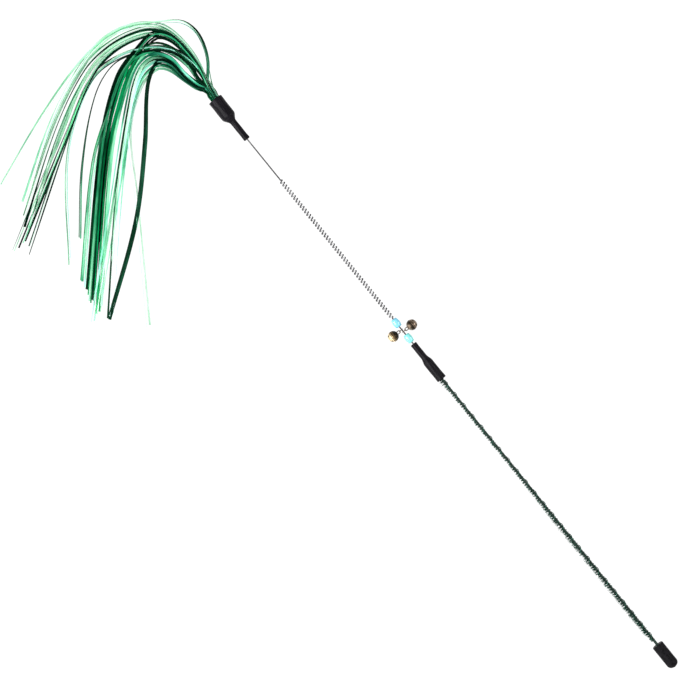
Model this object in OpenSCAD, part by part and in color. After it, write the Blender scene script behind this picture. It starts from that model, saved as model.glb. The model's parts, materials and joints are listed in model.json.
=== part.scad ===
// Cat teaser wand: a wound handle rod, a sprung wire with beads and jingle bells, and a foil tassel.
// It lies on the plane z = 0 along +X, from its cap to its tassel, with the tassel swept to +Y.

/* [Handle rod] */
// Diameter of the rod
rod_d = 2.4; // [2:0.1:3]
// Length of rod between the end cap and the joint sleeve
rod_shown_l = 297.5; // [200:0.5:400]

/* [End cap] */
// Outer diameter of the cap
cap_d = 10.5; // [8:0.1:13]
// Length of the cap without its moulding nub
cap_l = 24.2; // [18:0.1:40]
// Radius of the rounded end
cap_round_r = 4.3; // [2:0.1:5]
// Rubber between the rod's end and the cap's end
cap_floor = 7; // [4:0.5:10]
// Bevel round the cap's mouth
cap_bevel = 0.5; // [0.2:0.1:1]
// Depth of the lead-in at the rod's bore
cap_lead = 0.6; // [0.2:0.1:1]
// Diameter of the moulding nub
nub_d = 1.8; // [1:0.1:3]
// Height of the moulding nub
nub_l = 0.3; // [0.1:0.1:1]

/* [Tinsel strand] */
// Diameter of the strand wound round the rod
strand_d = 0.9; // [0.6:0.05:1.2]
// Number of turns round the rod
strand_turns = 24; // [12:1:24]
// Bare rod between the cap and the strand
strand_start = 5; // [2:0.5:20]

/* [Joint sleeve] */
// Outer diameter on the handle's side
sleeve_wide_d = 9; // [7:0.1:12]
// Length of the wide part
sleeve_wide_l = 18.2; // [12:0.1:30]
// Length of the shoulder between the two parts
sleeve_cone_l = 7; // [4:0.1:12]
// Outer diameter on the beads' side
sleeve_narrow_d = 6; // [4.4:0.1:6.8]
// Length of the narrow part
sleeve_narrow_l = 14.4; // [8:0.1:25]
// Wall of the shrunk sleeve
sleeve_wall = 0.7; // [0.4:0.05:1]
// How far the sleeve stands past its core at each end
sleeve_lip = 1.2; // [0.4:0.1:2]
// Solid stretch of the core between the rod and the wire
core_web = 3; // [1.5:0.1:5]

/* [Spring wire] */
// Diameter of the wire
wire_d = 1; // [0.7:0.05:1.2]
// Outer diameter of the coil
coil_d = 4; // [3.4:0.1:7]
// Number of turns in the coil
coil_turns = 52; // [20:1:60]
// Advance of the coil in one turn
coil_pitch = 3; // [2:0.1:4]
// Straight wire between the coil and the tassel collar
straight_l = 45.2; // [20:0.1:80]

/* [Beads] */
// Diameter of a bead at its middle
bead_d = 7; // [5:0.1:7.4]
// Diameter of a bead's flat ends
bead_end_d = 5.2; // [3:0.1:6]
// Length of a bead
bead_l = 8.5; // [5:0.1:12]
// Depth of the lead-in at a bead's bore
bead_lead = 0.5; // [0.2:0.05:0.8]
// Gap between the joint sleeve and the lower bead
sleeve_gap = 1.9; // [0.5:0.1:4]
// Space for the bells' rings between the beads
ring_space = 8.7; // [7:0.1:14]
// Gap between the upper bead and the coil
coil_gap = 0.5; // [0.3:0.1:3]

/* [Jump rings] */
// Outer diameter of a ring
ring_d = 4.4; // [4:0.1:6]
// Diameter of a ring's wire
ring_wire_d = 0.7; // [0.5:0.05:0.8]
// Width of the split in a ring
ring_split = 0.12; // [0.05:0.01:0.2]
// Distance between the two rings along the shank
ring_spread = 2.2; // [1.2:0.1:3.4]

/* [Bells] */
// Outer diameter of a bell
bell_d = 10; // [8:0.1:11]
// Wall of the stamped shell
bell_wall = 0.45; // [0.3:0.05:0.7]
// Width of the cross slot
slot_w = 1; // [0.6:0.1:1.5]
// Diameter of the round holes that end the slots
slot_hole_d = 1.8; // [1.6:0.1:2.4]
// Angle from the bell's foot to the slots' end holes
slot_angle = 56; // [40:1:62]
// Outer diameter of the ear loop
ear_d = 3.1; // [2.9:0.1:3.6]
// Diameter of the ear's wire
ear_wire_d = 0.8; // [0.5:0.05:0.85]
// Length of the ear's legs above the shell
ear_leg_l = 1.45; // [0.8:0.05:4]
// Diameter of the heads that hold the ear's legs inside the shell
ear_head_d = 1.3; // [1.1:0.05:1.5]
// Height of those heads
ear_head_l = 0.4; // [0.2:0.05:0.8]
// Diameter of the loose pellet
pellet_d = 2.8; // [2:0.1:4]

/* [Tassel collar] */
// Outer diameter at the tassel's mouth
collar_wide_d = 13.4; // [12:0.1:16]
// Length of the wide part
collar_wide_l = 18.1; // [12:0.1:30]
// Length of the shoulder between the two parts
collar_cone_l = 7.3; // [4:0.1:12]
// Outer diameter on the wire's side
collar_narrow_d = 6; // [4.4:0.1:8]
// Length of the narrow part
collar_narrow_l = 19; // [10:0.1:30]
// Wall of the shrunk collar
collar_wall = 0.75; // [0.4:0.05:1]
// How far the collar stands past its ferrule at each end
collar_lip = 1.8; // [0.4:0.1:3]
// Wall of the ferrule's cup
cup_wall = 0.5; // [0.3:0.05:0.8]
// Thickness of the cup's floor
cup_floor = 1.5; // [0.8:0.1:3]

/* [Tassel] */
// Width of a foil strip
streamer_w = 3; // [2:0.1:4]
// Thickness of a foil strip
streamer_t = 0.12; // [0.05:0.01:0.15]
// How far the tassel's arch stands out past the collar's mouth
tassel_out = 100; // [70:1:140]
// How far the tassel is swept to the side
tassel_side = 200; // [120:1:300]
// Distance from the mouth at which the bundle has come down to the ground
settle_l = 160; // [100:1:190]

/* [Fits] */
// Radial clearance of pieces that are gripped or shrunk on
seat_play = 0.02; // [0.01:0.01:0.04]
// Radial clearance of pieces that turn or hang
run_play = 0.05; // [0.03:0.01:0.08]

/* [Hidden] */
$fn = 96;
// How far a cut runs past the face that it opens
overrun = 1;
// Sides and rings of the swept tubes
tube_sides = 6;
coil_rings = 8;
strand_rings = 10;
// Rings that the coil takes to grow from the straight wire, and steps of a sleeve's shoulder
lead_rings = 6;
cone_steps = 8;
// Rings of a foil strip in each stretch of its route, and in its last, long stretches
arch_rings = 2;
sweep_rings = 3;
sweep_stretches = 2;

// Colours, by what they are used on
black_rubber = [0.07, 0.07, 0.08];
rod_brown = [0.16, 0.12, 0.1];
steel = [0.6, 0.6, 0.62];
old_brass = [0.5, 0.38, 0.2];
turquoise = [0.42, 0.88, 0.86];
sky_blue = [0.45, 0.8, 0.93];
tinsel_green = [0.1, 0.32, 0.24];
foil_dark = [0.01, 0.2, 0.1];
foil_emerald = [0.02, 0.5, 0.28];
foil_mint = [0.5, 0.9, 0.7];
foil_pale = [0.78, 0.95, 0.84];
foil_turquoise = [0.5, 0.86, 0.78];

// Half sizes
rod_r = rod_d / 2;
wire_r = wire_d / 2;
bell_r = bell_d / 2;
bell_inner_r = bell_r - bell_wall;
pellet_r = pellet_d / 2;
ear_wire_r = ear_wire_d / 2;
ring_wire_r = ring_wire_d / 2;
cup_r = collar_wide_d / 2 - collar_wall - seat_play - cup_wall;
bundle_r = cup_r - run_play;

// Places along the wand, from the tip of the cap's nub
cap_x = nub_l;
rod_x = cap_x + cap_floor;
cap_mouth_x = cap_x + cap_l;
strand_x = cap_mouth_x + strand_start;
sleeve_x = cap_mouth_x + rod_shown_l;
core_x = sleeve_x + sleeve_lip;
rod_end_x = sleeve_x + sleeve_wide_l;
wire_x = rod_end_x + core_web;
sleeve_end_x = sleeve_x + sleeve_wide_l + sleeve_cone_l + sleeve_narrow_l;
lower_bead_x = sleeve_end_x + sleeve_gap;
rings_x = lower_bead_x + bead_l + ring_space / 2;
upper_bead_x = lower_bead_x + bead_l + ring_space;
coil_x = upper_bead_x + bead_l + coil_gap;
coil_end_x = coil_x + coil_turns * coil_pitch;
collar_x = coil_end_x + straight_l;
cup_x = collar_x + collar_narrow_l + collar_cone_l;
wire_end_x = cup_x - wire_r;
mouth_x = cup_x + collar_wide_l;
root_x = cup_x + cup_floor + run_play;

// The wand's axis stands as high as its widest piece, the collar, lets it
axis_z = collar_wide_d / 2;

// A bell hangs from the shank by its ring and its ear: distances outward from the shank's axis
ring_mean_r = ring_d / 2 - ring_wire_r;
ear_mean_r = ear_d / 2 - ear_wire_r;
ring_centre = ring_mean_r - ring_wire_r - wire_r - run_play;
bell_pivot = ring_centre + ring_mean_r;
ear_centre = bell_pivot - ring_wire_r - ear_wire_r - run_play + ear_mean_r;
bell_reach = ear_centre + ear_leg_l + bell_r;
// Angle by which a bell hangs below level when it rests on the ground
hang_angle = asin((axis_z - bell_r) / bell_reach);
right_ring_x = rings_x - ring_spread / 2;
left_ring_x = rings_x + ring_spread / 2;
pellet_drop = bell_inner_r - pellet_r - run_play;

// Each lock of the tassel: its spread at the arch and at the end, then the places that it passes after the
// mouth. A spread is a share of tassel_out, and a place is a share of tassel_out and one of tassel_side.
lock_shares = [
    [0.012, 0.02, [[0.316, -0.084], [0.537, -0.121], [0.703, -0.104], [0.835, -0.023],
        [1.005, 0.126], [1.01, 0.316], [0.875, 0.585], [0.62, 0.93]]],
    [0.03, 0.04, [[0.304, -0.043], [0.572, -0.051], [0.797, -0.019], [0.948, 0.071],
        [1.015, 0.195], [0.971, 0.347], [0.746, 0.609], [0.325, 0.943]]],
    [0.04, 0.06, [[0.296, -0.034], [0.526, -0.038], [0.728, -0.013], [0.856, 0.052],
        [0.935, 0.194], [0.911, 0.352], [0.68, 0.608], [0.211, 0.969]]],
    [0.035, 0.05, [[0.277, -0.032], [0.5, -0.033], [0.7, -0.013], [0.828, 0.052],
        [0.906, 0.2], [0.858, 0.354], [0.586, 0.61], [0.086, 1.065]]],
    [0.03, 0.03, [[0.25, -0.021], [0.407, -0.018], [0.566, 0.007], [0.7, 0.076],
        [0.81, 0.2], [0.823, 0.346], [0.634, 0.54], [-0.011, 1.054]]],
    [0.015, 0.02, [[0.263, -0.027], [0.429, -0.021], [0.592, 0.014], [0.728, 0.087],
        [0.825, 0.216], [0.79, 0.387], [0.425, 0.653], [-0.302, 0.936]]],
    [0.015, 0.03, [[0.24, -0.017], [0.391, -0.014], [0.569, 0.023], [0.7, 0.104],
        [0.79, 0.236], [0.69, 0.388], [0.309, 0.616], [-0.157, 0.819]]],
    [0.025, 0.04, [[0.189, 0.02], [0.338, 0.033], [0.533, 0.043], [0.677, 0.097],
        [0.71, 0.207], [0.561, 0.357], [0.229, 0.601], [-0.539, 0.963]]],
    [0.028, 0.055, [[0.263, -0.027], [0.456, -0.032], [0.652, -0.022], [0.766, 0.027],
        [0.744, 0.131], [0.652, 0.275], [0.298, 0.505], [-0.641, 0.962]]],
    [0.026, 0.045, [[0.236, -0.016], [0.387, -0.013], [0.568, 0.012], [0.691, 0.057],
        [0.717, 0.142], [0.568, 0.292], [0.206, 0.518], [-0.754, 0.969]]],
    [0.025, 0.04, [[0.185, 0.022], [0.324, 0.038], [0.508, 0.048], [0.622, 0.091],
        [0.618, 0.171], [0.436, 0.301], [-0.072, 0.588], [-0.809, 0.997]]],
    [0.015, 0.02, [[0.179, 0.024], [0.317, 0.041], [0.495, 0.05], [0.603, 0.093],
        [0.602, 0.189], [0.4, 0.327], [-0.077, 0.585], [-0.868, 0.953]]],
    [0.02, 0.03, [[0.175, 0.026], [0.311, 0.044], [0.481, 0.056], [0.578, 0.098],
        [0.559, 0.19], [0.341, 0.345], [-0.159, 0.604], [-0.933, 0.968]]],
    [0.015, 0.02, [[0.171, 0.03], [0.297, 0.049], [0.454, 0.07], [0.535, 0.11],
        [0.505, 0.212], [0.27, 0.371], [-0.218, 0.533], [-1.156, 0.845]]],
    [0.015, 0.02, [[0.172, 0.027], [0.311, 0.044], [0.479, 0.051], [0.568, 0.085],
        [0.477, 0.181], [0.103, 0.35], [-0.37, 0.591], [-0.871, 0.938]]]];
// Tone of each strip in each lock: d dark, e emerald, m mint, p pale, t turquoise
lock_tones = ["tpd", "pmp", "pmdme", "dmdpd", "dmd", "tp", "dd", "mme", "ddemedd",
    "meeded", "mpmt", "d", "ttp", "pm", "dd"];
// Places that a lock takes to open to its full spread, and its start towards that at its first place
open_places = 3.2;
open_share = 0.7;
// How far a strip may end before or after its lock, as a share of tassel_out
stray_share = 0.06;
// Share of a turn that the golden angle takes, and the angle itself
golden_share = 0.618034;
golden_angle = 137.508;
// Share of the free room in the bundle that a strip may be set off by
offset_share = 0.96;

// Every strip as [lock, place within its lock from -1 to 1, tone]
streamers = [for (l = [0:len(lock_tones) - 1]) let (n = len(lock_tones[l]))
    for (j = [0:n - 1]) [l, (2 * j + 1) / n - 1, lock_tones[l][j]]];
count = len(streamers);
// Half the height of the bundle in the cup, and the rise from one strip to the next
bundle_h = sqrt(bundle_r * bundle_r - streamer_w * streamer_w / 4) - streamer_t / 2;
layer_h = 2 * bundle_h / count;

function smooth(share) = let (s = min(max(share, 0), 1)) s * s * (3 - 2 * s);
function wobble(k, salt) = sin(golden_angle * (k + 1) * (salt + 1));
function unit(v) = v / norm(v);

// Place at share t of a curve from a to b that leaves with speed da and arrives with speed db
function curve(a, da, b, db, t) = let (u = 1 - t)
    u * u * (1 + 2 * t) * a + t * t * (3 - 2 * t) * b + t * u * u * da - t * t * u * db;

// Each strip lies in a layer of its own, so strips that cross in plan never meet
function key(k) = k * golden_share % 1;
function layer(k) = len([for (m = [0:count - 1]) if (key(m) < key(k)) m]);
// Height of a layer's middle at a place in plan, measured from the mouth's centre
function layer_z(r, place) = let (drop = smooth(norm(place) / settle_l))
    (axis_z - bundle_h) * (1 - drop) + (r + 1 / 2) * layer_h + drop * (streamer_t - layer_h) / 2;
// Sideways place of a strip inside the round bundle
function bundle_y(k, r) = let (
        z = (2 * (r + 1 / 2) / count - 1) * bundle_h + streamer_t / 2 * sign(2 * r - count),
        room = sqrt(max(0, bundle_r * bundle_r - z * z)) - streamer_w / 2)
    offset_share * wobble(k, 0) * room;

// Place i that strip k passes: its lock's, moved across by the strip's own place in the lock
function streamer_place(k, i) = let (
        lock = lock_shares[streamers[k][0]],
        places = [for (p = lock[2]) [p[0] * tassel_out, p[1] * tassel_side]],
        last = len(places) - 1,
        along = unit(places[min(i + 1, last)] - (i == 0 ? [0, 0] : places[i - 1])),
        across = [along[1], -along[0]],
        share = (i + 1) / (last + 1),
        opened = min(1, (i + open_share) / open_places),
        spread = (lock[0] + (lock[1] - lock[0]) * share) * streamers[k][1] * opened,
        stray = stray_share * wobble(k, 2) * pow(share, 3))
    places[i] + (spread * across + stray * along) * tassel_out;

// Centre line of strip k in plan: from its root in the cup, out of the mouth and through its places
function streamer_plan(k) = let (
        start = [0, bundle_y(k, layer(k))],
        stops = len(lock_shares[streamers[k][0]][2]),
        knots = concat([start], [for (i = [0:stops - 1]) streamer_place(k, i)]),
        last = len(knots) - 1,
        gaps = [for (i = [1:last]) norm(knots[i] - knots[i - 1])],
        slopes = concat([[1, 0]],
            [for (i = [1:last - 1]) (knots[i + 1] - knots[i - 1]) / (gaps[i - 1] + gaps[i])],
            [unit(knots[last] - knots[last - 1])]))
    concat([[root_x - mouth_x, start[1]]],
        [for (i = [0:last - 1]) let (rings = i < last - sweep_stretches ? arch_rings : sweep_rings)
            for (s = [0:rings - 1])
                curve(knots[i], gaps[i] * slopes[i], knots[i + 1], gaps[i] * slopes[i + 1], s / rings)],
        [knots[last]]);

// Corners of a flat strip along a centre line, four to a ring
function streamer_points(k) = let (plan = streamer_plan(k), r = layer(k), last = len(plan) - 1)
    [for (i = [0:last]) let (
            to = unit(plan[min(i + 1, last)] - plan[max(i - 1, 0)]),
            side = streamer_w / 2 * [-to[1], to[0]])
        for (c = [[1, 1], [-1, 1], [-1, -1], [1, -1]]) let (
                corner = plan[i] + c[0] * side,
                z = layer_z(r, [max(corner[0], 0), corner[1]]) + c[1] * streamer_t / 2)
            [mouth_x + corner[0], corner[1], z]];

// Faces of a tube whose rings have the given number of points
function tube_faces(rings, sides) = concat(
    [[for (s = [0:sides - 1]) s]],
    [for (r = [0:rings - 2]) for (s = [0:sides - 1]) let (
            a = r * sides + s,
            b = r * sides + (s + 1) % sides)
        each [[a, a + sides, b], [b, a + sides, b + sides]]],
    [[for (s = [0:sides - 1]) rings * sides - 1 - s]]);

// A wire's centre line is a list of [x, distance from the wand's axis, turn]
function wire_place(p) = [p[0], p[1] * cos(p[2]), p[1] * sin(p[2])];
function wire_points(line, d) = let (last = len(line) - 1)
    [for (i = [0:last]) let (
            to = unit(wire_place(line[min(i + 1, last)]) - wire_place(line[max(i - 1, 0)])),
            out = [0, cos(line[i][2]), sin(line[i][2])],
            side = unit(cross(to, out)),
            up = cross(side, to))
        for (s = [0:tube_sides - 1]) let (a = s * 360 / tube_sides)
            wire_place(line[i]) + d / 2 * (cos(a) * up + sin(a) * side)];

// Least gap between stretches of one wire that lie half a turn or more apart
function wire_gap(line, d, half_turn) = min([for (i = [0:len(line) - 1 - half_turn])
    for (j = [i + half_turn:min(i + 3 * half_turn, len(line) - 1)])
        norm(wire_place(line[i]) - wire_place(line[j]))]) - d;

coil_r = coil_d / 2 - wire_r;
coil_steps = coil_turns * coil_rings;
spring_line = concat(
    [[wire_x, 0, 0], [coil_x - wire_d, 0, 0]],
    [for (i = [0:coil_steps]) [coil_x + i * coil_pitch / coil_rings,
        coil_r * smooth(min(i, coil_steps - i) / lead_rings), i * 360 / coil_rings]],
    [[coil_end_x + wire_d, 0, 360 * coil_turns], [wire_end_x, 0, 360 * coil_turns]]);

strand_end_x = core_x - run_play;
strand_pitch = (strand_end_x - strand_x - 2 * strand_d) / strand_turns;
strand_r = (rod_r + strand_d / 2 + run_play) / cos(180 / strand_rings);
strand_line = concat(
    [[strand_x, strand_r, 0]],
    [for (i = [0:strand_turns * strand_rings])
        [strand_x + strand_d + i * strand_pitch / strand_rings, strand_r, i * 360 / strand_rings]],
    [[strand_end_x, strand_r, 360 * strand_turns]]);

// The whole wand is moved so that the centre of its box, seen from above, is the origin
tassel_corners = [for (k = [0:count - 1]) each streamer_points(k)];
bell_side = bell_reach * cos(hang_angle) + bell_r;
low_y = min(-bell_side, min([for (p = tassel_corners) p[1]]));
high_y = max(bell_side, max([for (p = tassel_corners) p[1]]));
home = [-max([for (p = tassel_corners) p[0]]) / 2, -(low_y + high_y) / 2, 0];

echo(spring_gap = wire_gap(spring_line, wire_d, coil_rings / 2));
echo(strand_gap = wire_gap(strand_line, strand_d, strand_rings / 2));
echo(home = home);
echo(cap_pin = home + [cap_x + cap_round_r, 0, axis_z], cap_pin_l = cap_l - cap_round_r - cap_bevel);
echo(lower_bend = home + [coil_x + (coil_end_x - coil_x) / 4, 0, axis_z]);
echo(upper_bend = home + [coil_end_x - (coil_end_x - coil_x) / 4, 0, axis_z]);
echo(tassel_root = home + [mouth_x, 0, axis_z]);
echo(right_ring = home + [right_ring_x, 0, axis_z], left_ring = home + [left_ring_x, 0, axis_z]);
pivot_y = bell_pivot * cos(hang_angle);
pivot_z = axis_z - bell_pivot * sin(hang_angle);
echo(right_pivot = home + [right_ring_x, -pivot_y, pivot_z]);
echo(left_pivot = home + [left_ring_x, pivot_y, pivot_z]);
echo(hang_angle = hang_angle, bell_reach = bell_reach, pellet_travel = 2 * pellet_drop);
echo(bead_x = home[0] + lower_bead_x + bead_l / 2, upper_x = home[0] + upper_bead_x + bead_l / 2);
echo(layer_h = layer_h, count = count, cup_r = cup_r);

// Stands a shape that is drawn along z on the wand's axis, pointing to the tassel or to the cap
module on_axis(x, to_cap = false) {
    translate(home + [x, 0, axis_z]) rotate([0, to_cap ? -90 : 90, 0]) children();
}

// Hangs a shape that is drawn outward along z from the shank: side 1 is the left bell, -1 the right
module hung(x, side) {
    translate(home + [x, 0, axis_z]) rotate([-side * (90 + hang_angle), 0, 0]) children();
}

// Half outline of a stepped sleeve from its narrow end: straight, a smooth shoulder, straight
function stepped(narrow_r, narrow_l, cone_l, wide_r, wide_l) = concat(
    [[narrow_r, 0]],
    [for (i = [0:cone_steps])
        [narrow_r + (wide_r - narrow_r) * smooth(i / cone_steps), narrow_l + cone_l * i / cone_steps]],
    [[wide_r, narrow_l + cone_l + wide_l]]);

// A shrunk sleeve: the same outline outside and inside, one wall apart
module shrunk_sleeve(narrow_d, narrow_l, cone_l, wide_d, wide_l, wall) {
    outside = stepped(narrow_d / 2, narrow_l, cone_l, wide_d / 2, wide_l);
    inside = stepped(narrow_d / 2 - wall, narrow_l, cone_l, wide_d / 2 - wall, wide_l);
    rotate_extrude() polygon(concat(outside, [for (i = [len(inside) - 1:-1:0]) inside[i]]));
}

// The solid core that a shrunk sleeve takes its shape from, a lip shorter at each end
module sleeve_core(narrow_d, narrow_l, cone_l, wide_d, wide_l, wall, lip) {
    inset = wall + seat_play;
    outline = stepped(narrow_d / 2 - inset, narrow_l - lip, cone_l, wide_d / 2 - inset, wide_l - lip);
    length = narrow_l + cone_l + wide_l - 2 * lip;
    translate([0, 0, lip]) rotate_extrude() polygon(concat([[0, 0]], outline, [[0, length]]));
}

// A round wire bent into a circle round z
module wire_ring(mean_r, wire_radius, turn = 360) {
    rotate_extrude(angle = turn) translate([mean_r, 0]) circle(r = wire_radius);
}

module swept_wire(line, d) {
    translate(home + [0, 0, axis_z])
        polyhedron(points = wire_points(line, d), faces = tube_faces(len(line), tube_sides));
}

// Moulded rubber cap with a rounded end, a bevelled mouth and a blind bore for the rod
module end_cap() {
    color(black_rubber) on_axis(cap_x) difference() {
        union() {
            rotate_extrude() {
                translate([0, cap_round_r]) square([cap_d / 2, cap_l - cap_round_r - cap_bevel]);
                square([cap_d / 2 - cap_round_r, cap_l]);
                translate([0, cap_l - cap_bevel])
                    polygon([[0, 0], [cap_d / 2, 0], [cap_d / 2 - cap_bevel, cap_bevel], [0, cap_bevel]]);
                intersection() {
                    translate([cap_d / 2 - cap_round_r, cap_round_r]) circle(r = cap_round_r);
                    square([cap_d / 2, cap_round_r]);
                }
            }
            translate([0, 0, -nub_l]) cylinder(d = nub_d, h = nub_l + cap_round_r);
        }
        translate([0, 0, cap_floor]) cylinder(r = rod_r + seat_play, h = cap_l);
        translate([0, 0, cap_l - cap_lead])
            cylinder(r1 = rod_r + seat_play, r2 = rod_r + seat_play + cap_lead, h = cap_lead);
    }
}

// Stiff rod from the cap's bore to the core of the joint sleeve
module handle_rod() {
    color(rod_brown) on_axis(rod_x + seat_play)
        cylinder(r = rod_r, h = rod_end_x - rod_x - 2 * seat_play);
}

// Tinsel strand, one unbroken tube wound round the rod in open turns
module tinsel_strand() {
    color(tinsel_green) swept_wire(strand_line, strand_d);
}

// Stepped core under the joint sleeve: the rod is fixed in its wide end, the wire in its narrow end
module joint_ferrule() {
    color(steel) on_axis(sleeve_end_x, to_cap = true) difference() {
        sleeve_core(sleeve_narrow_d, sleeve_narrow_l, sleeve_cone_l, sleeve_wide_d, sleeve_wide_l,
            sleeve_wall, sleeve_lip);
        translate([0, 0, sleeve_end_x - rod_end_x])
            cylinder(r = rod_r + seat_play, h = sleeve_wide_l + overrun);
        cylinder(r = wire_r + seat_play, h = sleeve_end_x - wire_x + seat_play);
    }
}

module joint_sleeve() {
    color(black_rubber) on_axis(sleeve_end_x, to_cap = true)
        shrunk_sleeve(sleeve_narrow_d, sleeve_narrow_l, sleeve_cone_l, sleeve_wide_d, sleeve_wide_l,
            sleeve_wall);
}

// One formed wire: straight shank for the beads and rings, open coil, straight end in the collar
module spring_wire() {
    color(steel) swept_wire(spring_line, wire_d);
}

// Barrel bead with flat ends, a bore that runs on the shank and a lead-in at each end
module bead() {
    bulge = (bead_d - bead_end_d) / 2;
    barrel_r = (bead_l * bead_l / 4 + bulge * bulge) / (2 * bulge);
    bore_r = wire_r + run_play;
    difference() {
        rotate_extrude() intersection() {
            translate([bead_d / 2 - barrel_r, bead_l / 2]) circle(r = barrel_r);
            square([bead_d / 2, bead_l]);
        }
        translate([0, 0, -overrun]) cylinder(r = bore_r, h = bead_l + 2 * overrun);
        cylinder(r1 = bore_r + bead_lead, r2 = bore_r, h = bead_lead);
        translate([0, 0, bead_l - bead_lead]) cylinder(r1 = bore_r, r2 = bore_r + bead_lead, h = bead_lead);
    }
}

module lower_bead() {
    color(turquoise) on_axis(lower_bead_x) bead();
}

module upper_bead() {
    color(sky_blue) on_axis(upper_bead_x) bead();
}

// Split ring that hangs on the shank
module jump_ring() {
    translate([0, 0, ring_centre]) rotate([0, 90, 0]) difference() {
        wire_ring(ring_mean_r, ring_wire_r);
        translate([-ring_split / 2, 0, -ring_d / 2]) cube([ring_split, ring_d, ring_d]);
    }
}

// Bent wire ear: a half loop through the ring, two legs into the shell, a head inside on each leg
module bell_ear() {
    head_z = sqrt(bell_inner_r * bell_inner_r - pow(ear_mean_r + ear_head_d / 2, 2)) - run_play;
    leg_l = bell_reach - ear_centre - head_z + ear_head_l;
    translate([0, 0, ear_centre]) {
        rotate([-90, 0, 0]) wire_ring(ear_mean_r, ear_wire_r, turn = 180);
        for (side = [-1, 1]) translate([side * ear_mean_r, 0, 0]) {
            cylinder(r = ear_wire_r, h = leg_l);
            translate([0, 0, leg_l - ear_head_l]) cylinder(d = ear_head_d, h = ear_head_l);
        }
    }
}

// Stamped shell of four petals: a cross slot that ends in round holes, and two holes for the ear
module bell_shell() {
    translate([0, 0, bell_reach]) difference() {
        sphere(r = bell_r);
        sphere(r = bell_inner_r);
        for (turn = [45, 135]) rotate([0, 0, turn]) {
            slot_l = 2 * bell_r * sin(slot_angle);
            translate([-slot_l / 2, -slot_w / 2, 0]) cube([slot_l, slot_w, bell_d]);
            for (end = [-1, 1]) rotate([0, end * slot_angle, 0]) cylinder(d = slot_hole_d, h = bell_d);
        }
        for (side = [-1, 1]) translate([side * ear_mean_r, 0, -bell_r - overrun])
            cylinder(r = ear_wire_r + seat_play, h = bell_r);
    }
}

module right_ring() {
    color(old_brass) hung(right_ring_x, -1) jump_ring();
}

module left_ring() {
    color(old_brass) hung(left_ring_x, 1) jump_ring();
}

module right_ear() {
    color(old_brass) hung(right_ring_x, -1) bell_ear();
}

module left_ear() {
    color(old_brass) hung(left_ring_x, 1) bell_ear();
}

module right_bell() {
    color(old_brass) hung(right_ring_x, -1) bell_shell();
}

module left_bell() {
    color(old_brass) hung(left_ring_x, 1) bell_shell();
}

// Loose pellet at the lowest place inside its shell
module pellet(x, side) {
    translate(home + [x, side * bell_reach * cos(hang_angle), bell_r - pellet_drop]) sphere(r = pellet_r);
}

module right_pellet() {
    color(steel) pellet(right_ring_x, -1);
}

module left_pellet() {
    color(steel) pellet(left_ring_x, 1);
}

// Crimped ferrule under the collar: the wire's end in its neck, the streamers' roots in its cup
module tassel_ferrule() {
    neck_l = collar_narrow_l + collar_cone_l;
    color(steel) on_axis(collar_x) difference() {
        sleeve_core(collar_narrow_d, collar_narrow_l, collar_cone_l, collar_wide_d, collar_wide_l,
            collar_wall, collar_lip);
        translate([0, 0, neck_l + cup_floor]) cylinder(r = cup_r, h = collar_wide_l);
        cylinder(r = wire_r + seat_play, h = neck_l - wire_r + seat_play);
    }
}

module tassel_collar() {
    color(black_rubber) on_axis(collar_x)
        shrunk_sleeve(collar_narrow_d, collar_narrow_l, collar_cone_l, collar_wide_d, collar_wide_l,
            collar_wall);
}

// All the tassel's strips of one tone
module streamers_of(tone) {
    for (k = [0:count - 1]) if (streamers[k][2] == tone)
        translate(home) polyhedron(points = streamer_points(k),
            faces = tube_faces(len(streamer_plan(k)), 4));
}

module streamers_dark() {
    color(foil_dark) streamers_of("d");
}

module streamers_emerald() {
    color(foil_emerald) streamers_of("e");
}

module streamers_mint() {
    color(foil_mint) streamers_of("m");
}

module streamers_pale() {
    color(foil_pale) streamers_of("p");
}

module streamers_turquoise() {
    color(foil_turquoise) streamers_of("t");
}

end_cap();
handle_rod();
tinsel_strand();
joint_ferrule();
joint_sleeve();
spring_wire();
lower_bead();
upper_bead();
right_ring();
right_ear();
right_bell();
right_pellet();
left_ring();
left_ear();
left_bell();
left_pellet();
tassel_ferrule();
tassel_collar();
streamers_dark();
streamers_emerald();
streamers_mint();
streamers_pale();
streamers_turquoise();
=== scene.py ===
"""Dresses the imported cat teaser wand: foil tassel, spring wire, beads, bells, sleeves and tinsel handle.

The wand lies along +X, from its cap to its tassel. Pieces are modelled in millimetres on the bench,
round +Z or in plan from the collar's mouth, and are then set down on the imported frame.
"""

import json
import logging
import math
import random
from dataclasses import dataclass
from enum import Enum
from typing import Optional, Sequence, Union

import bpy
import numpy as np
from mathutils import Matrix, Vector


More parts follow.
